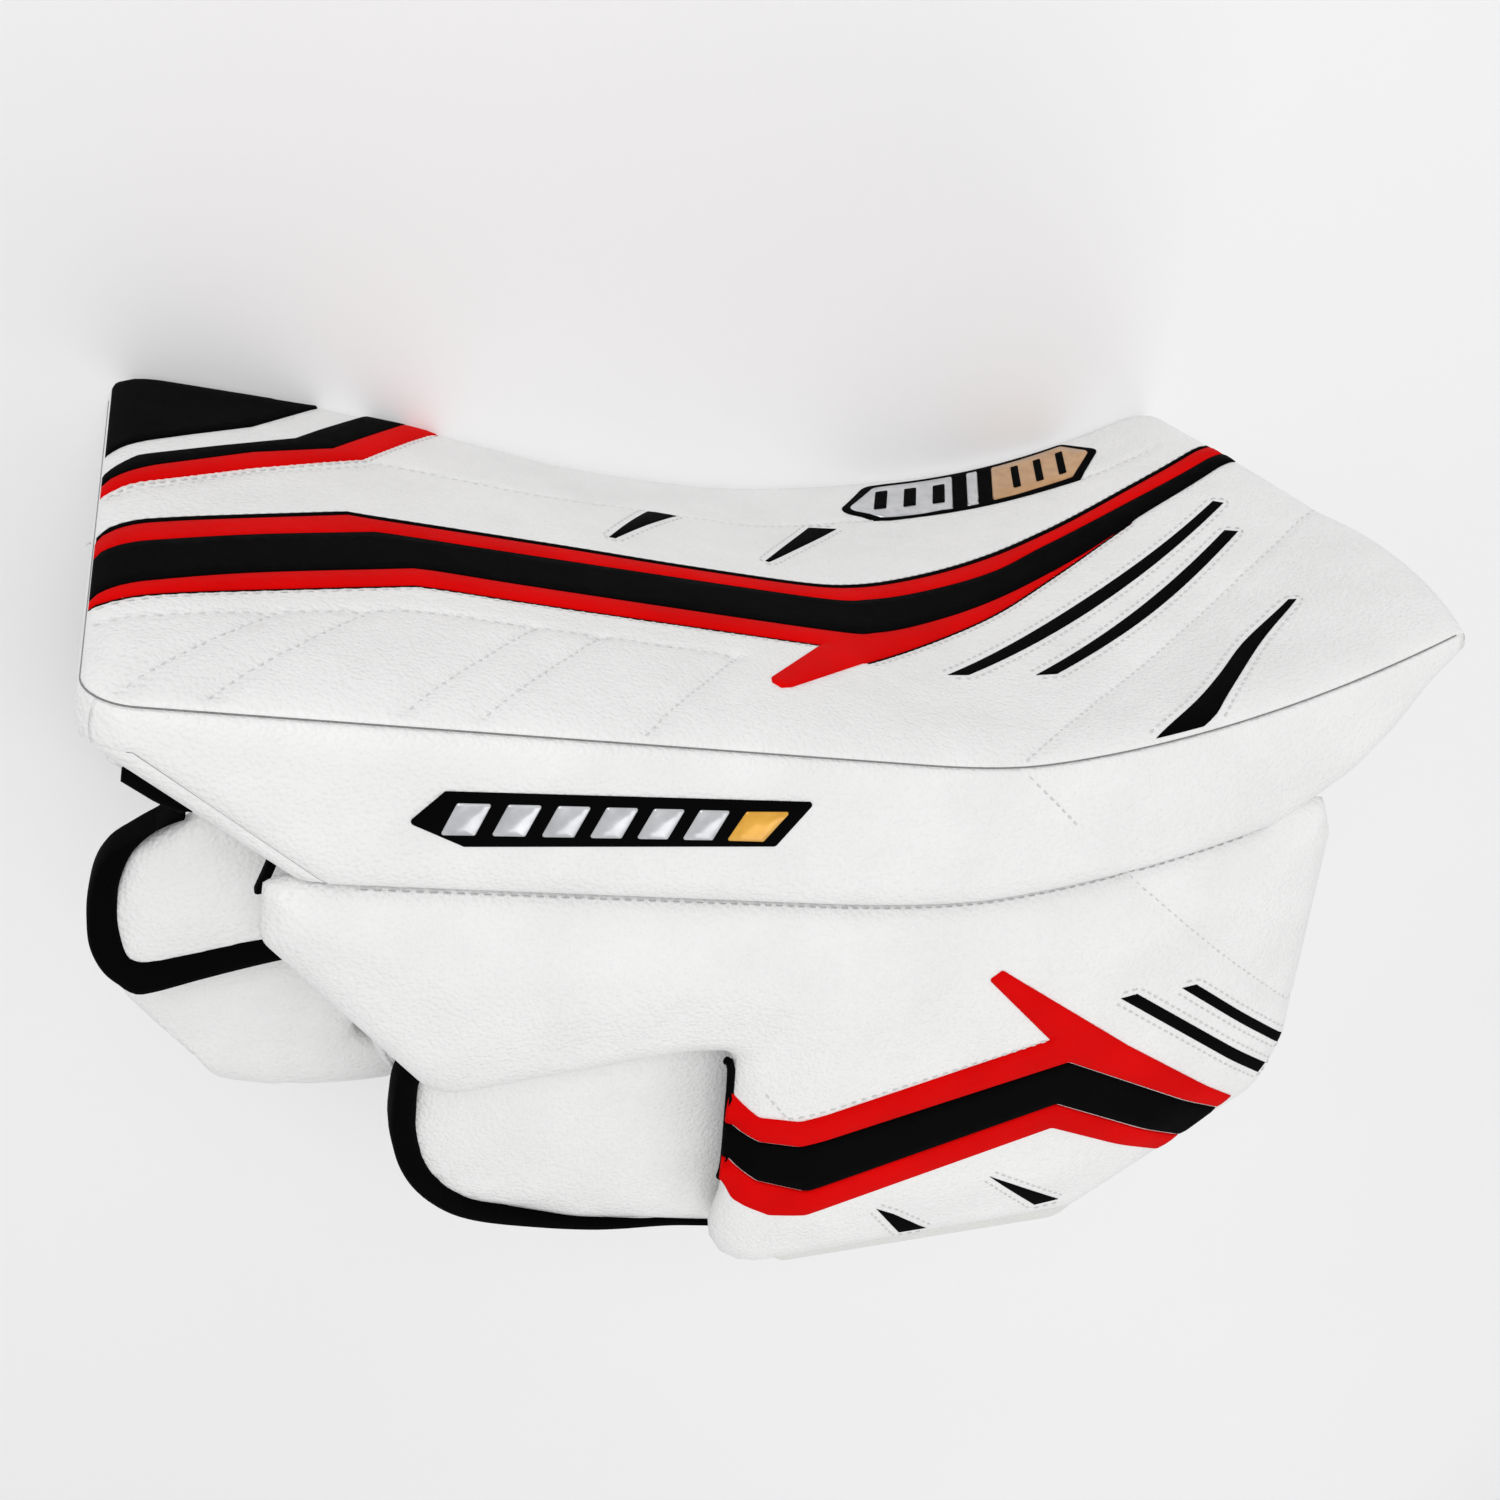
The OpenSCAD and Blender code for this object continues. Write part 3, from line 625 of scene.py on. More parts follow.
slash_lines = [([(226, 159), (295, 119.8), (368, 83.5)], [(233, 159), (300, 123.4), (370, 87)]),
               ([(255, 160.6), (310, 130.6), (360, 102.5)], [(262, 161), (314, 134), (363, 106)])]
blade = ([(269, 202), (288, 191.5), (303.7, 180.5), (322, 167), (346.6, 154.2)],
         [(348, 156), (324.5, 171), (298.3, 192), (289.5, 199.2), (283.8, 202)])
LINES = [(far_stitch, 0.8, 1.5), (under_stitch, 0.9, 1.6), (crease, 0.9, 1.8),
         (red_top, 0.5, 1.4), (red_low, 0.6, 1.4), (red_low_2, 0.6, 1.4),
         (band_red_low, 0.5, 1.4)] + [(q, 1.1, 2.0) for q in quilt]


def face_height(s, z):
    """Height of the padded face above the CAD's flat face."""
    s, z = np.broadcast_arrays(np.asarray(s, float), np.asarray(z, float))
    shape = s.shape
    s, z = s.ravel(), z.ravel()
    crown = 4.3 * roll(s - start_s(z), 12) * roll(end_s(z) - s, 12) * roll(z, 8) \
        * roll(WIDTH - z, 15)
    low = np.interp(s, DROOP_S, DROOP_D) * (1 - smooth(z / 78))
    p = np.stack([s, z], -1)
    seam = np.minimum(np.minimum(s - start_s(z), end_s(z) - s), np.minimum(z, WIDTH - z))
    keep = smooth(seam / 4)
    h = crown - low
    for line, depth, width in LINES:
        h = h - keep * depth * np.exp(-(distance(p, line) / width) ** 2)
    # the pockets between the quilting lines swell a little
    swell = smooth((z - 150 + np.maximum(0, 70 - s) * -0.35) / 12) * smooth((195 - z) / 14) \
        * smooth((150 - s) / 30)
    return (h + 0.7 * swell * keep).reshape(shape)


def on_face(s, z, h):
    return on_board(s, z, -(face_height(s, z) + h))


def edge_rows(width, step):
    a = [0, 0.12, 0.45, 1.0, 1.8, 3.0, 4.5, 6.2, 8.2, 10.3]
    mid = np.arange(12, width - 11.9, step)
    return np.concatenate([a, mid, [width - v for v in a[::-1]]])


zs = edge_rows(WIDTH, 1.6)
fs = np.concatenate([[0, 0.0003, 0.0012, 0.003, 0.006, 0.01, 0.015, 0.021, 0.028],
                     np.linspace(0.034, 0.966, 225),
                     [0.972, 0.979, 0.985, 0.99, 0.994, 0.997, 0.9988, 0.9997, 1]])
Z, F = np.meshgrid(zs, fs, indexing="ij")
S = start_s(Z) + F * (end_s(Z) - start_s(Z))
v, f = grid_solid(on_face(S, Z, 0), on_board(S, Z, np.maximum(2.4, -face_height(S, Z) + 1.2)))
make("face_panel", v, f, WHITE, "white_leather", ("strike_face",), fill=0.8)


zi = np.concatenate([[2.6, 4, 6.5], np.arange(10, 195, 5), [196.5, 199, 200.4]])
Zi, Fi = np.meshgrid(zi, np.linspace(0.0066, 0.9934, 110), indexing="ij")


def inner_layer(name, top, low, last, material, slot, cad):
    """A hidden layer of the board that keeps clear of the face where it is pressed in."""
    z, f_ = Zi, 0.0066 + (Fi - 0.0066) * (last - 0.0066) / (0.9934 - 0.0066)
    s = start_s(z) + f_ * (end_s(z) - start_s(z))
    press = np.maximum(0, -face_height(s, z) - 1.0)
    a = top + press
    b = (low if low else np.interp(f_, THICK_F, THICK_T) - 0.2) + (press if low else 0)
    v, f = grid_solid(on_board(s, z, a), on_board(s, z, np.maximum(b, a + 1.0)))
    make(name, v, f, material, slot, (cad,))


inner_layer("core_foam_sheet", 2.6, 5.5, 0.9934, FOAM, "foam", "face_foam")
inner_layer("core_stiffener", 6.0, 7.8, 0.94, PLASTIC, "insert_plastic", "board_stiffener")
inner_layer("core_block", 8.3, None, 0.94, FOAM, "foam", "board_core")


# ---------------------------------------------------------------- sewn-on shapes of the face
def sewn(name, outlines, surface, material, slot, nodes=(), lift=0.9, step=3.0, body="board"):
    return make(name, *joined([decal_solid(o, surface, lift, step=step) for o in outlines]),
                material, slot, nodes, body)


def between(a, b):
    return np.array(list(a) + list(b)[::-1], float)


sewn("face_corner_patch", [[(0.5, 69), (5, 64), (22, 49), (40, 34), (61.5, 6), (62, 1.5),
                            (40, 0.6), (11, 0.6), (6.5, 1.5), (3, 4), (1, 7), (0.5, 11)]],
     on_face, BLACK, "black_leather", ("corner_patch",))
sewn("face_corner_band_black", [between(band_black_top, band_black_low)], on_face, BLACK,
     "black_leather", ("corner_band_black",))
sewn("face_corner_band_red", [between(band_black_low, band_red_low)], on_face, RED,
     "red_leather", ("corner_band_red",), 0.8)
sewn("face_stripe_black", [between(black_top, black_low)], on_face, BLACK, "black_leather",
     ("main_stripe_black",), 1.0)
low_part = [p for p in black_low if p[0] <= 340]
sewn("face_stripe_red", [between(red_top, black_top),
                         between(low_part, red_low + tail + red_low_2)],
     on_face, RED, "red_leather", ("main_stripe_red",), 0.8)
sewn("face_inlays", [np.array(w) for w in wedges]
     + [between(curve(a), curve(b)) for a, b in slash_lines]
     + [between(curve(blade[0]), curve(blade[1])[::-1])], on_face, BLACK, "black_leather",
     ("face_accents",), 0.35)


def offset(line, by):
    """A line moved sideways in its own plane."""
    p = np.asarray(line, float)
    t = np.gradient(p, axis=0)
    t /= np.linalg.norm(t, axis=1)[:, None]
    return p + by * np.stack([-t[:, 1], t[:, 0]], -1)


def outside(shape, by, step=2.0):
    """The line that runs round a shape, this far outside it."""
    p = resample(ccw(np.asarray(shape, float)), step, True)
    out = []
    for a, b in zip(p, np.roll(p, -1, 0)):
        t = (b - a) / max(np.linalg.norm(b - a), 1e-9)
        out += [a + by * np.array([t[1], -t[0]]), b + by * np.array([t[1], -t[0]])]
    out = np.array(out)
    out = out[distance(out, p, True) > by * 0.97]
    return np.vstack([out, out[:1]])


# painted shadow: a dark strip on the white face along the stripe's red_top edge stands in for the
# shade cast by the white leather's cut edge over the inlay, and thin dark lines run along its lower
# edges
painted_shadow_top = np.column_stack([np.clip(offset(red_top, -1.9)[:, 0], 0.4, 390.5),
                           offset(red_top, -1.9)[:, 1]])
shade_and_dark_lines = [decal_solid(between(offset(red_top, 0.1), painted_shadow_top), on_face, 0.8),
          decal_solid(between(offset(red_low, -0.1), offset(red_low, 0.7)), on_face, 0.5),
          decal_solid(between(offset(red_low_2, -0.1), offset(red_low_2, 0.7)), on_face, 0.5)]
# the painted shadow strip and the thin dark lines, made as one black object
make("face_stripe_edging", *joined(shade_and_dark_lines), BLACK, "black_leather")

rows = [far_stitch, under_stitch, crease, offset(band_red_low[:-1], 1.8),
        offset(red_top, -2.4), offset(red_low, 2.4), offset(red_low_2, 2.4)] + quilt
inlay_shapes = ([np.array(w) for w in wedges]
                + [between(curve(a), curve(b)) for a, b in slash_lines]
                + [between(curve(blade[0]), curve(blade[1])[::-1])])
for shape in inlay_shapes:
    rim_row = outside(shape, 2.2)
    rows += runs(rim_row, rim_row[:, 1] < 201.2)
make("face_stitching", *stitches(rows, on_face), THREAD, "white_leather")

# a plain slanted badge on the finger end
badge = rounded([(243, 32, 6), (263, 9, 8), (350, 5, 4), (359, 19, 3), (341, 37, 4),
                 (257, 43, 8)])
sewn("face_badge_border", [badge], on_face, BLACK, "bronze_film", (), 0.7)
sewn("face_badge_silver", [rounded([(247, 31, 4), (265, 12.5, 6), (300, 10.5, 1),
                                    (287, 38.5, 1), (258, 40, 6)]),
                           rounded([(306, 10.3, 0.6), (311, 10.1, 0.6), (298, 37.8, 0.6),
                                    (293, 38.2, 0.6)])],
     on_face, SILVER, "bronze_film", ("face_emblem",), 1.3)
sewn("face_badge_bronze", [rounded([(317, 9.8, 1), (348.5, 8, 2), (355, 19, 2), (339.5, 34.2, 2),
                                    (304, 37.2, 1)])],
     on_face, BRONZE, "bronze_film", (), 1.3)
sewn("face_badge_bars", [rounded([(264 + k, 17.5, 0.8), (270 + k, 17, 0.8), (262 + k, 34, 0.8),
                                  (256 + k, 34.4, 0.8)]) for k in (0, 12, 24)]
     + [rounded([(323 + k, 14 - k * 0.05, 0.8), (327 + k, 13.8 - k * 0.05, 0.8),
                 (319 + k, 32 - k * 0.05, 0.8), (315 + k, 32.2 - k * 0.05, 0.8)])
        for k in (0, 10, 20)], on_face, BLACK, "bronze_film", (), 1.7)

# ---------------------------------------------------------------- gussets round the board
near_arc = [(CORNER * (1 - math.sin(a)), WIDTH - CORNER * (1 - math.cos(a)))
            for a in np.linspace(math.pi / 4, 0, 8)]
near_arc_2 = [(CORNER * (1 - math.sin(a)), WIDTH - CORNER * (1 - math.cos(a)))
              for a in np.linspace(math.pi / 2, math.pi / 4, 8)]
mirror = lambda pts: [(s, WIDTH - z) for s, z in pts]
end_far = [(float(end_s(z)), float(z)) for z in (11, 9, 7, 5.2, 3.7, 2.4)]
end_far_2 = [(float(end_s(z)), float(z)) for z in (2.4, 1.5, 0.8, 0.3, 0)]
top_s = float(end_s(WIDTH))
radial_path = near_arc + [(s, WIDTH) for s in np.linspace(12, top_s, 150)]
ulnar_path = ([(s, WIDTH - z) for s, z in near_arc]
              + [(s, 0.0) for s in np.linspace(12, float(end_s(0)) - 1, 150)]
              + end_far_2[::-1])
cuff_path = mirror(near_arc_2)[::-1] + [(0.0, z) for z in np.linspace(12, 191, 60)] + near_arc_2
finger_path = end_far[::-1] + [(float(end_s(z)), float(z)) for z in np.linspace(13, WIDTH, 70)]


def gusset(path, bulge, shrink=0.0, flip=False):
    """A padded wall round the board's edge: columns along the path, rows into the depth."""
    p = np.array(path, float)
    t = np.gradient(p, axis=0)
    t /= np.linalg.norm(t, axis=1)[:, None]
    n = np.stack([-t[:, 1], t[:, 0]], -1) * (-1 if flip else 1)
    d0 = -face_height(p[:, 0] - n[:, 0] * 0.01, p[:, 1] - n[:, 1] * 0.01) + 0.5
    total = np.interp(share(p[:, 0], np.clip(p[:, 1], 0, WIDTH)), THICK_F, THICK_T) + 0.8
    k = np.concatenate([[0, 0.01, 0.03, 0.06, 0.1], np.linspace(0.15, 0.85, 16),
                        [0.9, 0.94, 0.97, 0.99, 1]])
    K = k[:, None] * np.ones(len(p))[None]
    span = np.maximum(total - d0, 2)
    D = d0 + K * span
    edge = np.minimum(K, 1 - K) * span
    out = bulge * (roll(edge, np.minimum(9, span / 2.2)) * np.minimum(1, span / 22)) - shrink
    s = p[:, 0] + n[:, 0] * out
    z = p[:, 1] + n[:, 1] * out
    outer = on_board(s, z, D)
    inner = on_board(s - n[:, 0] * 1.6, z - n[:, 1] * 1.6, D)
    return (outer, inner) if not flip else (outer[::-1], inner[::-1])


outer, inner = gusset(radial_path, 3.2)
v, f = grid_solid(outer, inner)
make("gusset_radial", v, f, WHITE, "white_leather", ("radial_gusset",), fill=0.6)
outer_u, inner_u = gusset(ulnar_path, 0.9, 0.9, flip=True)
v, f = grid_solid(outer_u, inner_u)
make("gusset_ulnar", v, f, WHITE, "white_leather", ("ulnar_gusset",), fill=0.4)
outer_c, inner_c = gusset(cuff_path, 1.6)
v, f = grid_solid(outer_c, inner_c)
make("gusset_cuff_end", v, f, WHITE, "white_leather", ("cuff_end_gusset",), fill=0.5)
outer_f, inner_f = gusset(finger_path, 1.2, flip=True)
v, f = grid_solid(outer_f, inner_f)
make("gusset_finger_end", v, f, WHITE, "white_leather", fill=0.4)


def back_sheet(name, f0, f1, material, slot, nodes, puff, step=3.5):
    """The back of the board between two shares of its length."""
    n = max(8, int((f1 - f0) * 380 / step))
    zz = edge_rows(WIDTH, 3.2)
    A, B = np.meshgrid(zz, np.linspace(f0, f1, n), indexing="ij")
    s = start_s(A) + B * (end_s(A) - start_s(A))
    d = np.interp(B, THICK_F, THICK_T)
    e = np.minimum(np.minimum(A, WIDTH - A), (B - f0) * 380 + 2)
    top = on_board(s, A, d + 0.6 + puff * roll(e, 7))
    low = on_board(s, A, d - 0.8)
    v, f = grid_solid(top[::-1], low[::-1])
    return make(name, v, f, material, slot, nodes, fill=0.4)


back_sheet("back_cuff_end", 0.0, 0.128, WHITE, "white_leather", ("back_panel",), 1.4, 2.5)
back_sheet("back_cover", 0.128, 0.85, NYLON, "grey_nylon", ("back_panel",), 1.6)
back_sheet("back_finger_end", 0.85, 1.0, WHITE, "white_leather", ("finger_end_gusset",), 2.2)


# the outside of the thumb-side gusset, as x, y against z
def radial_top(x, y):
    flat_pts = outer.reshape(-1, 3)
    out = np.empty(len(x))
    for i, q in enumerate(zip(x, y)):
        d = (flat_pts[:, 0] - q[0]) ** 2 + (flat_pts[:, 1] - q[1]) ** 2
        k = np.argpartition(d, 4)[:4]
        w = 1 / (d[k] + 0.05)
        out[i] = (flat_pts[k, 2] * w).sum() / w.sum()
    return out


def on_gusset(x, y, h):
    return np.stack([x, y, radial_top(x, y) + h], -1)


def sight(points, rise):
    """Moves shapes laid out at the seams' level up onto a surface that stands higher."""
    p = np.asarray(points, float)
    return p + (EYE[:2] - p) * rise / (EYE[2] - WIDTH)


sewn("gusset_badge_plate", [sight(rounded([(70, -25, 1), (77, -16, 1), (171, -13, 1),
                                           (164, -27, 1), (84, -31, 1)]), 3.2)],
     on_gusset, BLACK, "black_leather", ("gusset_badge",), 0.7)
bars = [rounded([(80 + 12 * k, -18.5 + 0.35 * k, 0.8), (88.5 + 12 * k, -18.2 + 0.35 * k, 0.8),
                 (86 + 12 * k, -27.6 + 0.35 * k, 0.8), (77.5 + 12 * k, -27.9 + 0.35 * k, 0.8)])
        for k in range(6)]
sewn("gusset_badge_bars", [sight(b, 3.2) for b in bars], on_gusset, SILVER, "bronze_film", (),
     1.1)
sewn("gusset_badge_gold", [sight(rounded([(152.5, -16.5, 0.8), (165, -15.8, 0.8),
                                          (160, -25.6, 0.8), (149.5, -25.8, 0.8)]), 3.2)],
     on_gusset, GOLD, "bronze_film", (), 1.1)

# seams along both edges of the thumb-side gusset
front_path = np.array(cuff_path[10:-1] + radial_path)
front_seam = on_face(front_path[:, 0], front_path[:, 1], 0.0)
back_edge = outer[-1]
make("seam_thread", *joined([tube(front_seam[:-1], 0.24), tube(back_edge[6:130], 0.22)]),
     SEAM, "white_leather")

# ---------------------------------------------------------------- side protector
INNER_LOW = 180.9


def back_line(f0, f1, z, drop=3.0):
    f = np.linspace(f1, f0, 60)
    s = start_s(z) + f * (end_s(z) - start_s(z))
    return on_board(s, z, np.interp(f, THICK_F, THICK_T) + drop)[:, :2]


shell_edge = rounded([(41, -47.5, 0), (41.5, -63, 9), (92, -115, 15), (160, -100.5, 25),
                      (175, -100.5, 6), (188, -160, 30), (187, -193.5, 20), (325, -176, 16),
                      (381, -120, 18), (380.5, -97, 20), (352, -14, 10), (344, -4, 0)])
shell_outline = np.vstack([shell_edge, back_line(0.125, 0.85, WIDTH, 1.0)])
shell_crease = [(250, -14), (280, -32), (325, -57), (372, -81)]
CROWN = 3.2


def shell_height(x, y):
    p = np.stack([x, y], -1)
    d = distance(p, shell_outline, True)
    h = 197 + 6 * roll(d, 9) + CROWN * smooth(d / 30)
    h = h - 1.0 * np.exp(-(distance(p, shell_crease) / 2.0) ** 2) * (d > 1)
    return h


uv, tris, rim, edge = flat_mesh(shell_outline, 2.6, [0.3, 1.1, 2.7, 5.4])
top = shell_height(uv[:, 0], uv[:, 1])
dd = distance(uv, edge, True)
bottom = 197 - 5.5 * roll(dd, 7)
idx = np.arange(len(uv))
under = np.where(rim, idx, len(uv) + np.cumsum(~rim) - 1)
v = np.vstack([np.column_stack([uv, top]), np.column_stack([uv, bottom])[~rim]])
f = [tuple(t) for t in tris] + [tuple(under[t][::-1]) for t in tris]
make("side_shell", v, f, WHITE, "white_leather", ("side_protector_shell",), fill=0.7)


def on_shell(x, y, h):
    return np.stack([x, y, shell_height(x, y) + h], -1)


def lifted(c):
    return sight(rounded(c), CROWN)


stripe_black = lifted([(181.5, -131, 0), (193, -136, 4), (206, -137, 6), (291, -104.5, 4),
                       (367, -130, 0), (358, -142.5, 0), (294, -122, 4), (214, -155.5, 6),
                       (197, -152, 4), (184.5, -144.5, 0)])
stripe_red = [lifted([(179.8, -119, 0), (190, -126, 4), (203, -126.5, 6), (280, -95, 0),
                      (247.5, -71, 1), (251, -67.5, 1), (312, -98, 20), (371, -124.5, 0),
                      (367.5, -129.6, 0), (291, -104.1, 4), (206, -136.6, 6),
                      (193, -135.6, 4), (181.5, -130.6, 0)]),
              lifted([(184.5, -145, 0), (197, -152.5, 4), (214, -156, 6), (294, -122.5, 4),
                      (357.5, -143, 0), (352, -149.5, 0), (297, -133, 4), (217, -166.5, 6),
                      (205, -167, 4), (192, -162, 4), (186, -154, 0)])]
sewn("side_stripe_black", [stripe_black], on_shell, BLACK, "black_leather",
     ("protector_stripe_black",), 1.0)
sewn("side_stripe_red", stripe_red, on_shell, RED, "red_leather", ("protector_stripe_red",), 0.8)
side_bars = [[(296, -75.6), (301.5, -73.8), (375, -107), (373.5, -111)],
             [(318, -71.5), (323, -70), (376, -94.5), (375.5, -98)],
             [(278.5, -150.8), (289, -155.2), (314.5, -166.8), (305.5, -169)],
             [(240.5, -162.8), (248.5, -166.6), (265.5, -177), (255.5, -178)]]
sewn("side_inlays", [np.array(b, float) for b in side_bars], on_shell, BLACK, "black_leather",
     ("protector_accents",), 0.35)
side_rows = [shell_crease, offset(sight([(187, -118.5), (200, -129), (280, -98)], CROWN), 3.0)]
for b in side_bars:
    rim_row = outside(b, 2.2)
    side_rows += runs(rim_row, inside(rim_row, shell_outline)
                      & (distance(rim_row, shell_outline, True) > 2))
inner_seam = np.array([p for p in back_line(0.14, 0.83, WIDTH, 1.0)])
side_rows += [offset(inner_seam, 2.6)]
make("side_stitching", *stitches(side_rows, on_shell), THREAD, "white_leather")
gusset_crease = [(229.5, 0.5), (240, -6), (252, -14)]
make("gusset_stitching", *stitches([gusset_crease], on_gusset), THREAD, "white_leather")

padding_edge = rounded([(66, -49, 0), (66, -62, 8), (96, -101, 12), (170, -90, 10),
                        (192, -100, 10), (199, -188, 8), (226, -207.5, 8), (336, -196, 12),
                        (355, -165, 25), (374, -124, 14), (372, -92, 20), (352, -24, 16),
                        (342, -12, 0)])
padding_outline = np.vstack([padding_edge, back_line(0.16, 0.82, INNER_LOW, 4.0)])
quilting = [([(x, -200), (x + 30, -60)], 1.6, 2.6) for x in (230, 265, 300)]
v, f = pad_solid(padding_outline, flat(), INNER_LOW - 0.5, INNER_LOW + 8.3, INNER_LOW + 4, 4.0,
                 3.0)
pts = v.copy()
low_side = pts[:, 2] < INNER_LOW + 3.5
for line, depth, width in quilting:
    g = depth * np.exp(-(distance(pts[:, :2], line) / width) ** 2)
    pts[:, 2] += np.where(low_side, g, 0)
inflate(make("side_padding", pts, f, FOAM, "foam", ("side_protector_padding",), fill=0.6),
        pts[:, 2] > INNER_LOW + 3.5, 1.5)

# black binding in the notch of the shell
notch = [(173.6, -104.5), (176.2, -108), (181, -129), (184.6, -146), (185, -152)]
make("notch_binding", *tube([(x + 0.2, y, 198.6) for x, y in curve(notch, 2.0)], 1.3), BLACK,
     "black_leather", ("protector_notch_binding",))

# ---------------------------------------------------------------- thumb shield
shield_inner = rounded([(101, -100, 0), (91.5, -122, 8), (92, -172, 38), (152, -189.8, 60),
                        (205, -196, 0), (205, -100, 0)])
v, f = pad_solid(shield_inner, flat(), 171.5, 180.5, 175.5, 7.0, 3.0, 2.0, 28)
inflate(make("thumb_shield", v, f, WHITE, "white_leather", ("thumb_shield_pad",),
             "thumb_base", fill=0.7), v[:, 2] < 176.5, 1.6)


def band_along(outer_line, inner_line, low, high, n_cross=14):
    """A rounded band between two lines, folded over an edge."""
    a, b = np.asarray(outer_line), np.asarray(inner_line)
    rows = []
    for p, q, low, high in zip(a, b, *np.broadcast_arrays(low, high, a[:, 0])[:2]):
        c, half = (p + q) / 2, (q - p) / 2
        ring = []
        for t in np.linspace(0, 2 * math.pi, n_cross + 1)[:-1]:
            cx, cz = math.cos(t), math.sin(t)
            e = 0.55
            ring.append((*(c + half * math.copysign(abs(cx) ** e, cx)),
                         (low + high) / 2 + (high - low) / 2 * math.copysign(abs(cz) ** e, cz)))
        rows.append(np.array(ring))
    return loops(rows)


shield_out = curve([(104, -112), (95, -114), (88.5, -119), (86, -127), (86, -136), (87.5, -148),
                    (93, -163), (102, -175), (116, -184), (140, -189.5), (170, -193.5),
                    (205, -197.5)], 2.5)
t = np.gradient(shield_out, axis=0)
t /= np.linalg.norm(t, axis=1)[:, None]
width = np.interp(np.linspace(0, 1, len(shield_out)), [0, 0.06, 0.2, 0.45, 0.7, 1],
                  [1.5, 6.0, 7.6, 7.6, 3.0, 2.0])
shield_in = shield_out + np.stack([-t[:, 1], t[:, 0]], -1) * width[:, None]
lift = 170.6 + 7.0 * smooth((np.linspace(0, 1, len(shield_out)) - 0.4) / 0.3)
# the far end dips, clear of the side protector's padding
crest = 181.6 - 2.6 * smooth((np.linspace(0, 1, len(shield_out)) - 0.72) / 0.2)
lift = np.minimum(lift, crest - 2.4)
make("thumb_shield_edge", *band_along(shield_out, shield_in, lift, crest),
     BLACK, "black_leather", ("thumb_shield_binding",), "thumb_base")


# ---------------------------------------------------------------- cuff
wing_inner = rounded([(62, -50, 0), (27, -49.4, 2), (12, -60.5, 8), (8, -78, 20),
                      (11, -94, 8), (18, -98.5, 4), (62, -86, 0)])
v, f = pad_solid(wing_inner, flat(), 161.5, 170.2, 166, 6.0, 2.6, 2.2, 22)
inflate(make("cuff_wing_pad", v, f, WHITE, "white_leather", ("cuff_radial_wing",),
             "cuff_wing", fill=0.6), v[:, 2] < 167, 1.6)
wing_out = curve([(24.2, -48.9), (22.6, -49.7), (16.9, -53), (12.3, -56.4), (8.1, -60),
                  (5.5, -65.5), (4.4, -72.6), (4.3, -79.7), (5, -86.9), (6.7, -92.7),
                  (9.6, -98), (12.9, -101.3), (16.7, -104.6), (21.4, -104),
                  (32.7, -99.5), (48.2, -93.9), (62, -89.5)], 2.0)
wing_in = curve([(24.6, -47.4), (22.6, -47.9), (18.7, -51.6), (14, -59.1),
                 (11.6, -67.6), (11.4, -75.2), (12.7, -84.4), (15.9, -91.8),
                 (22, -91.2), (31.7, -88.4), (44.2, -84.4), (60, -81.5)], 2.0)
k = np.linspace(0, 1, 70)[:, None] * [1, 1]
wing_out, wing_in = [np.stack([np.interp(k[:, 0], np.linspace(0, 1, len(w)), w[:, i])
                               for i in (0, 1)], -1) for w in (wing_out, wing_in)]
make("cuff_wing_edge", *band_along(wing_out, wing_in, 160.7, 171.4), BLACK, "black_leather",
     ("cuff_radial_binding",), "cuff_wing")

# liner of the cuff, under the chamfered cuff end of the board


def strip_solid(p, q, half, z0, z1, puff, n=24):
    """A padded wall from p to q in x, y, between two heights."""
    p, q = np.array(p, float), np.array(q, float)
    t = (q - p) / np.linalg.norm(q - p)
    nrm = np.array([-t[1], t[0]])
    A, B = np.meshgrid(np.linspace(0, 1, n), np.linspace(0, 1, n * 2), indexing="ij")
    L, H = np.linalg.norm(q - p), z1 - z0
    e = np.minimum(np.minimum(A, 1 - A) * L, np.minimum(B, 1 - B) * H)
    w = (half + puff * smooth(e / 14)) * roll(e + 0.01, 2.5)
    base = p[None, None] + A[..., None] * (q - p)[None, None]
    make_side = lambda k: np.concatenate([base + nrm * (k * w)[..., None],
                                          (z0 + B * H)[..., None]], -1)
    return grid_solid(make_side(-1.0), make_side(1.0))


v, f = strip_solid((6, -24.2), (39.5, -46.8), 2.2, 12, 184, 0.8)
make("cuff_lining", v, f, WHITE, "white_leather", ("cuff_liner",), fill=0.5)
v, f = strip_solid((9.5, -26.5), (25, -37), 2.6, 183.2, 187, 0.0, 14)
v[:, 2] -= 2.2 * smooth((v[:, 0] - 16) / 8)
strip = resample([(43.6, -45.6), (42.6, -50), (41.4, -55)], 1.5)
tab = band_along(strip + (1.2, 0.2), strip - (1.2, 0.2), 187.5, 191.5)
make("cuff_lining_edge", *joined([(v, f), tab]), BLACK, "black_leather",
     ("cuff_liner_binding",))


# the flared wing on the little-finger side: a section in y, z along x
def wing_skin(y, side):
    """Lower (side 0) or upper (side 1) height of the little-finger wing."""
    low = np.interp(y, [-150, -140, -53], [0.4, 0.4, 14.2])
    high = np.interp(y, [-150, -138, -53], [9.6, 11.2, 23.6])
    return low if side == 0 else high


def ulnar_place(x, y, h):
    """h runs from 0 on the underside to 1 on top."""
    return np.stack([x, y, wing_skin(y, 0) * (1 - h) + wing_skin(y, 1) * h], -1)


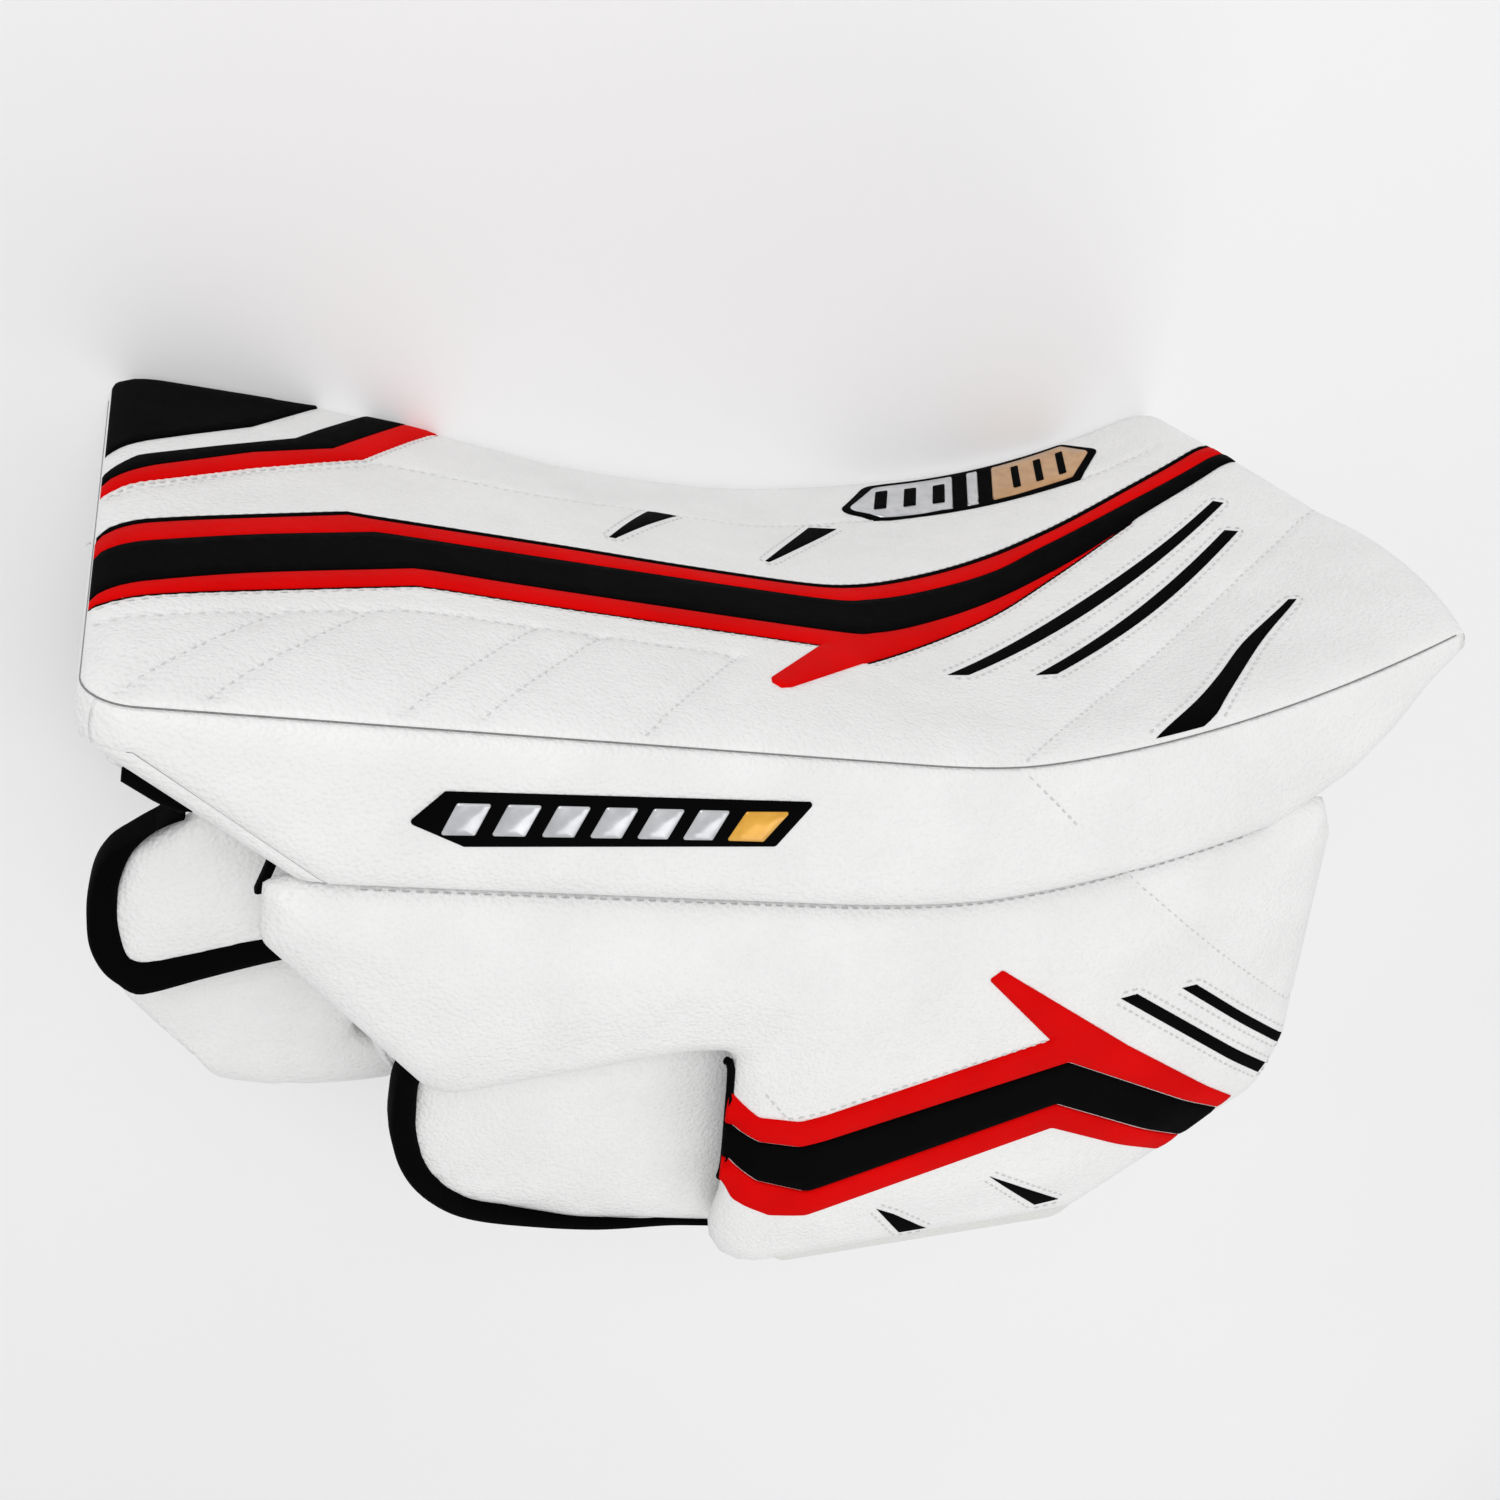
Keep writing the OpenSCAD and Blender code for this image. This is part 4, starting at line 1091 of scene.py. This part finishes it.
ulnar_outline = rounded([(15, -53, 0), (92, -53, 0), (92, -150, 8), (40, -150, 14),
                         (15, -128, 14)])
v, f = pad_solid(ulnar_outline, ulnar_place, 0.0, 1.0, 0.45, 6.0, 3.0, 0.25, 30,
                 [([(40, -60), (40, -150)], 0.12, 2.5), ([(66, -60), (66, -150)], 0.12, 2.5)])
inflate(make("cuff_ulnar_pad", v, f, WHITE, "white_leather", ("cuff_ulnar_wing",), fill=0.6),
        v[:, 2] < wing_skin(v[:, 1], 0) + 5, 1.6)
edge_line = curve([(15, -54), (10.5, -62), (9, -90), (10, -118), (17, -134), (31, -146),
                   (45, -152.5), (70, -153.5), (92, -153)], 3.0)
t = np.gradient(edge_line, axis=0)
t /= np.linalg.norm(t, axis=1)[:, None]
width = np.interp(np.linspace(0, 1, len(edge_line)), [0, 0.3, 0.6, 1], [8, 8, 6, 5])
edge_in = edge_line + np.stack([-t[:, 1], t[:, 0]], -1) * width[:, None]
rows_b = []
for p, q in zip(edge_line, edge_in):
    c, half = (p + q) / 2, (q - p) / 2
    zl, zh = wing_skin(c[1], 0) - 0.1, wing_skin(c[1], 1) + 1.0
    ring = []
    for a in np.linspace(0, 2 * math.pi, 13)[:-1]:
        cx, cz = math.cos(a), math.sin(a)
        ring.append((*(c + half * math.copysign(abs(cx) ** 0.55, cx)),
                     (zl + zh) / 2 + (zh - zl) / 2 * math.copysign(abs(cz) ** 0.55, cz)))
    rows_b.append(np.array(ring))
make("cuff_ulnar_edge", *loops(rows_b), BLACK, "black_leather", ("cuff_ulnar_binding",))

# the wrap under the wrist: an L-shaped section in y, z, its corner an arc
WRAP_R, WRAP_Y, WRAP_Z = 12.0, -150.5, 154.0
turn = WRAP_R * math.pi / 2
flat_top = (-98) - (WRAP_Y + WRAP_R)


def wrap_place(x, v, h):
    """v runs along the section from its end at the thumb side; h is out from its middle."""
    v, h = np.broadcast_arrays(v, h)
    a = np.clip((v - flat_top) / WRAP_R, 0, math.pi / 2)
    y = np.where(v < flat_top, -98 - v, WRAP_Y + WRAP_R - WRAP_R * np.sin(a))
    z = np.where(v < flat_top, WRAP_Z,
                 WRAP_Z - WRAP_R + WRAP_R * np.cos(a) - np.maximum(0, v - flat_top - turn))
    return np.stack([x, y - h * np.sin(a), z + h * np.cos(a)], -1)


wrap_len = flat_top + turn + (WRAP_Z - WRAP_R - 12)
wrap_outline = rounded([(14, 0, 2), (14, 18, 8), (37, flat_top + 4, 20), (47, flat_top + 26, 14),
                        (47, wrap_len, 6), (95, wrap_len, 6), (95, flat_top + 2, 5),
                        (77, flat_top - 8, 6), (77, 0, 2)])
v, f = pad_solid(wrap_outline, wrap_place, -3.6, 3.9, 0, 5.0, 2.6, 1.0, 16,
                 [([(62, 14), (62, wrap_len)], 0.8, 2.5)])
inflate(make("cuff_wrap", v, f, WHITE, "white_leather", ("cuff_palm_pad",), fill=0.6),
        v[:, 0] > 93, 1.2)

# ---------------------------------------------------------------- wrist strap


def strap_solid(x0, x1, z0, z1, y_mid, half, edge_w, step=3.0, corner=3.0):
    outline = rounded([(x0, z0, corner), (x1, z0, corner), (x1, z1, corner), (x0, z1, corner)])
    place = lambda u, v, h: np.stack([u, y_mid - h, v], -1)
    return pad_solid(outline, place, -half, half, 0, edge_w, step)


def on_strap(u, v, h):
    return np.stack([u, -160.6 - h, v], -1)


make("strap_base", *strap_solid(47, 73, 14, 23, -156.4, 1.3, 1.5, 2.5, 1.5), WHITE,
     "white_leather", ("strap_anchor",))
make("strap_loop_tape", *strap_solid(51, 71, 50, 100, -155.9, 0.65, 0.8, 3.0, 1.5), HOOK,
     "hook_and_loop", ("strap_loop_patch",))
make("strap_band", *strap_solid(50, 74, 24, 103, -159.5, 1.1, 1.4, 2.5, 3.0), WHITE,
     "white_leather", ("wrist_strap",), "wrist_strap")
make("strap_hook_tape", *strap_solid(51, 71, 52, 98, -157.7, 0.6, 0.8, 3.0, 1.5), HOOK,
     "hook_and_loop", ("strap_hook_patch",), "wrist_strap")
v, f = strap_solid(53, 71, 101, 116.3, -159.7, 1.6, 1.6, 2.0, 5.0)
g = 0.35 * np.cos(v[:, 2] * 2 * math.pi / 3.2) * (v[:, 2] > 104) * (v[:, 2] < 114)
v[:, 1] -= g * np.sign(-(v[:, 1] + 159.7))
make("strap_tab", v, f, BLACK, "black_leather", ("strap_pull_tab",), "wrist_strap")
make("strap_stitching", *stitches([[(52, 26), (52, 100)], [(72, 26), (72, 100)],
                                   [(53, 27), (71, 36)], [(53, 36), (71, 27)]], on_strap,
                                  3.2, 2.2, 0.32), THREAD, "white_leather", (), "wrist_strap")

# ---------------------------------------------------------------- lace and eyelets
lace_x = [75, 105, 135, 165]
parts, rings = [], []
for i, x in enumerate(lace_x):
    a, b = np.array([x, -50.4, 173.5]), np.array([x + 14, -63, INNER_LOW - 3.0])
    mid = (a + b) / 2 + (0, -1.2, -1.5)
    parts.append(tube(curve([a + (0, 3, -5), a, mid, b, b + (0, -4, 1.5)], 1.5), 1.5, 8))
    if i:
        c = np.array([lace_x[i - 1] + 14, -65, INNER_LOW - 3.2])
        parts.append(tube(curve([c, (c + a) / 2 + (0, 0.5, -1.8), a + (-1, -1, -0.5)], 1.5),
                          1.4, 8))
    for c, axis in ((np.array([x, -48.2, 167.0]), 1), (np.array([x + 14, -69.0, INNER_LOW - 0.9]), 2)):
        turn_a = np.linspace(0, 2 * math.pi, 33)[:-1]
        u, w = (np.eye(3)[0], np.eye(3)[2]) if axis == 1 else (np.eye(3)[0], np.eye(3)[1])
        n = np.eye(3)[axis] * -1.0
        profile = [(2.1, -0.6), (2.1, 0.5), (2.6, 1.0), (3.3, 1.1), (4.1, 0.7), (4.5, 0.0),
                   (4.4, -0.4)]
        vs = np.array([c + (math.cos(t_) * u + math.sin(t_) * w) * r_ + n * h_
                       for t_ in turn_a for r_, h_ in profile])
        m = len(profile)
        q = len(turn_a)
        rings.append((vs, [(i_ * m + j, i_ * m + (j + 1) % m, ((i_ + 1) % q) * m + (j + 1) % m,
                            ((i_ + 1) % q) * m + j) for i_ in range(q) for j in range(m)]))
make("corner_lace", *joined(parts), LACE, "lace", ("protector_lace",))
make("corner_eyelets", *joined(rings), EYELET, "eyelet", ("lace_eyelets",))

# ---------------------------------------------------------------- glove


def box_pad(name, x0, x1, z0, z1, y_in, y_out, edge_w, material, slot, nodes, fill, step=3.0,
            crown=0.0, dents=(), corner=8.0):
    """A pad lying in the x, z plane, its outer side towards -Y."""
    outline = rounded([(x0, z0, corner), (x1, z0, corner), (x1, z1, corner), (x0, z1, corner)])
    sign = 1 if y_out > y_in else -1
    place = lambda u, v, h: np.stack([u, y_in + sign * h, v], -1)
    t_ = abs(y_out - y_in)
    v, f = pad_solid(outline, place, 0, t_, t_ / 2, edge_w, step, crown, 25, dents)
    if sign > 0:
        f = [q[::-1] for q in f]
    return make(name, v, f, material, slot, nodes, fill=fill)


channels = [([(70, z), (200, z)], 1.6, 3.0) for z in (77, 103.5, 130)]
box_pad("glove_back", 46, 207, 50.5, 157, -48.9, -60.0, 4.0, NYLON, "grey_nylon",
        ("glove_back_pad",), 0.6, 3.0, 0.0, channels)
box_pad("glove_hook_tape", 70, 180, 72, 142, -47.2, -48.5, 0.6, HOOK, "hook_and_loop",
        ("glove_hook_patch",), 0.1, 5.0, corner=3.0)


def section(x, y0, y1, z0, z1, n=40, e=0.3):
    """A rounded rectangle across the hand at x."""
    c, h = np.array([(y0 + y1) / 2, (z0 + z1) / 2]), np.array([(y1 - y0) / 2, (z1 - z0) / 2])
    a = np.linspace(0, 2 * math.pi, n + 1)[:-1]
    cy, cz = np.cos(a), np.sin(a)
    return np.stack([np.full(n, x), c[0] + h[0] * np.sign(cy) * np.abs(cy) ** e,
                     c[1] + h[1] * np.sign(cz) * np.abs(cz) ** e], -1)


hand_x = [104, 105, 108, 120, 140, 160, 178, 188, 195, 200, 203.5]
hand_y0 = [-101.5, -102.2, -102.4, -102.6, -103, -103, -102.6, -101.5, -98.5, -94.5, -92]
hand_y1 = [-60.2] * 8 + [-61, -62.5, -64.5]
outer_rows = [section(x, a, b, 50.8, 156.7, 72) for x, a, b in zip(hand_x, hand_y0, hand_y1)]
inner_rows = [section(x, a + 2.6, b - 2.2, 53.6, 153.9, 72)
              for x, a, b in zip(hand_x, hand_y0, hand_y1)]
m = 72
rows_h = outer_rows + inner_rows[::-1]
vh = np.vstack(rows_h)
fh = [(i * m + j, i * m + (j + 1) % m, ((i + 1) % len(rows_h)) * m + (j + 1) % m,
       ((i + 1) % len(rows_h)) * m + j) for i in range(len(rows_h)) for j in range(m)]
make("glove_hand", vh, fh, SUEDE, "palm_leather",
     ("glove_palm", "glove_ulnar_side", "glove_radial_side"))
box_pad("glove_palm_patch", 130, 192, 60, 146, -102.6, -104.6, 1.2, SUEDE, "palm_leather",
        ("palm_patch",), 0.2, 3.0, corner=12.0)


def on_palm(u, v, h):
    return np.stack([u, -104.6 - h, v], -1)


make("glove_stitching", *stitches([resample(rounded([(133, 63, 10), (189, 63, 10),
                                                     (189, 143, 10), (133, 143, 10)]), 3, True),
                                   [(161, 64), (161, 142)]], on_palm, 3.4, 2.3, 0.35, 0.0),
     DARK_THREAD, "black_leather")


def digit(name, path, half_n, half_z, z_mid, start, stop, material, slot, nodes, cap_start,
          cap_end, creases=()):
    """A sewn leather stall swept along a path in x, y, from start to stop mm along it."""
    path = resample(path, 1.5)
    seg = np.linalg.norm(np.diff(path, axis=0), axis=1)
    at = np.concatenate([[0], np.cumsum(seg)])
    q = np.arange(start, stop + 0.01, 1.5)
    c = np.stack([np.interp(q, at, path[:, k]) for k in (0, 1)], -1)
    e = 4.0
    ca = np.stack([np.interp(q - e, at, path[:, k]) for k in (0, 1)], -1)
    cb = np.stack([np.interp(q + e, at, path[:, k]) for k in (0, 1)], -1)
    t_ = cb - ca
    t_ /= np.maximum(np.linalg.norm(t_, axis=1), 1e-6)[:, None]
    n_ = np.stack([-t_[:, 1], t_[:, 0]], -1)
    a = np.linspace(0, 2 * math.pi, 37)[:-1]
    ca_, sa_ = np.cos(a), np.sin(a)
    shape_n = np.sign(ca_) * np.abs(ca_) ** 0.62
    shape_z = np.sign(sa_) * np.abs(sa_) ** 0.62
    rows_ = []
    for i in range(len(q)):
        k = 1.0
        if cap_end:
            k = min(k, float(roll(np.array(at[-1] - q[i] + 0.02), half_n * 0.9)))
        if cap_start:
            k = min(k, float(roll(np.array(q[i] - start + 0.3), 2.5)) * 0.15 + 0.85)
        w = k
        for at_c, depth, wid in creases:
            w -= depth * math.exp(-((q[i] - at_c) / wid) ** 2) / half_n
        off_n = half_n * w * shape_n
        off_z = half_z * w * shape_z
        rows_.append(np.stack([c[i, 0] + n_[i, 0] * off_n, c[i, 1] + n_[i, 1] * off_n,
                               z_mid + off_z], -1))
    parts_ = [loops(rows_)]
    # welted seams along both sides
    for sgn in (1, -1):
        j = int(round((0.13 if sgn > 0 else 0.37) * 36))
        j2 = (36 - j) % 36
        for jj in (j, j2):
            line = np.array([r[jj] for r in rows_])
            if len(line) > 6:
                keep_n = len(line) - (7 if cap_end else 0)
                parts_.append(tube(line[:keep_n], 0.75, 6))
    return make(name, *joined(parts_), material, slot, nodes, None)


for k, finger in enumerate(("little", "ring", "middle", "index")):
    z_mid = 56.5 + 24 * k + 11
    bend = [(196, -78), (252, -78)] + [
        (255 + 12 * math.sin(a), -90 + 12 * math.cos(a)) for a in np.linspace(0, math.pi / 2, 14)
    ] + [(267, -132)]
    ob = digit(finger + "_stall_root", bend, 11.9, 10.9, z_mid, 0, 37, GLOVE, "glove_leather",
               (finger + "_base",), False, False, [(15, 0.8, 2.2), (21, 0.8, 2.2)])
    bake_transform(ob)
    ob = digit(finger + "_stall_end", bend, 12.1, 11.1, z_mid, 34, 117.4, GLOVE,
               "glove_leather", (finger + "_tip",), True, True,
               [(60, 0.9, 2.4), (66, 1.1, 2.4), (72, 0.9, 2.4)])
    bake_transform(ob)

thumb_path = [(91, -104), (91, -118)] + [
    (103 - 12 * math.cos(a), -118 - 12 * math.sin(a)) for a in np.linspace(0, math.pi / 2, 12)
] + [(192, -130)]
ob = digit("thumb_stall_root", thumb_path, 11.8, 9.8, 160, 0, 62, WHITE, "white_leather",
           ("thumb_root", "thumb_base"), False, False, [(34, 0.8, 2.4), (41, 0.8, 2.4)])
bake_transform(ob)
ob = digit("thumb_stall_end", thumb_path, 12.0, 10.0, 160, 58, 121.6, GLOVE, "glove_leather",
           ("thumb_tip",), True, True, [(77, 0.8, 2.4), (84, 1.0, 2.4)])
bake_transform(ob)

# ---------------------------------------------------------------- parts kept from the CAD
for name, material in (("side_protector_insert", PLASTIC),):
    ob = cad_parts[name]
    ob.data.materials.clear()
    ob.data.materials.append(material)
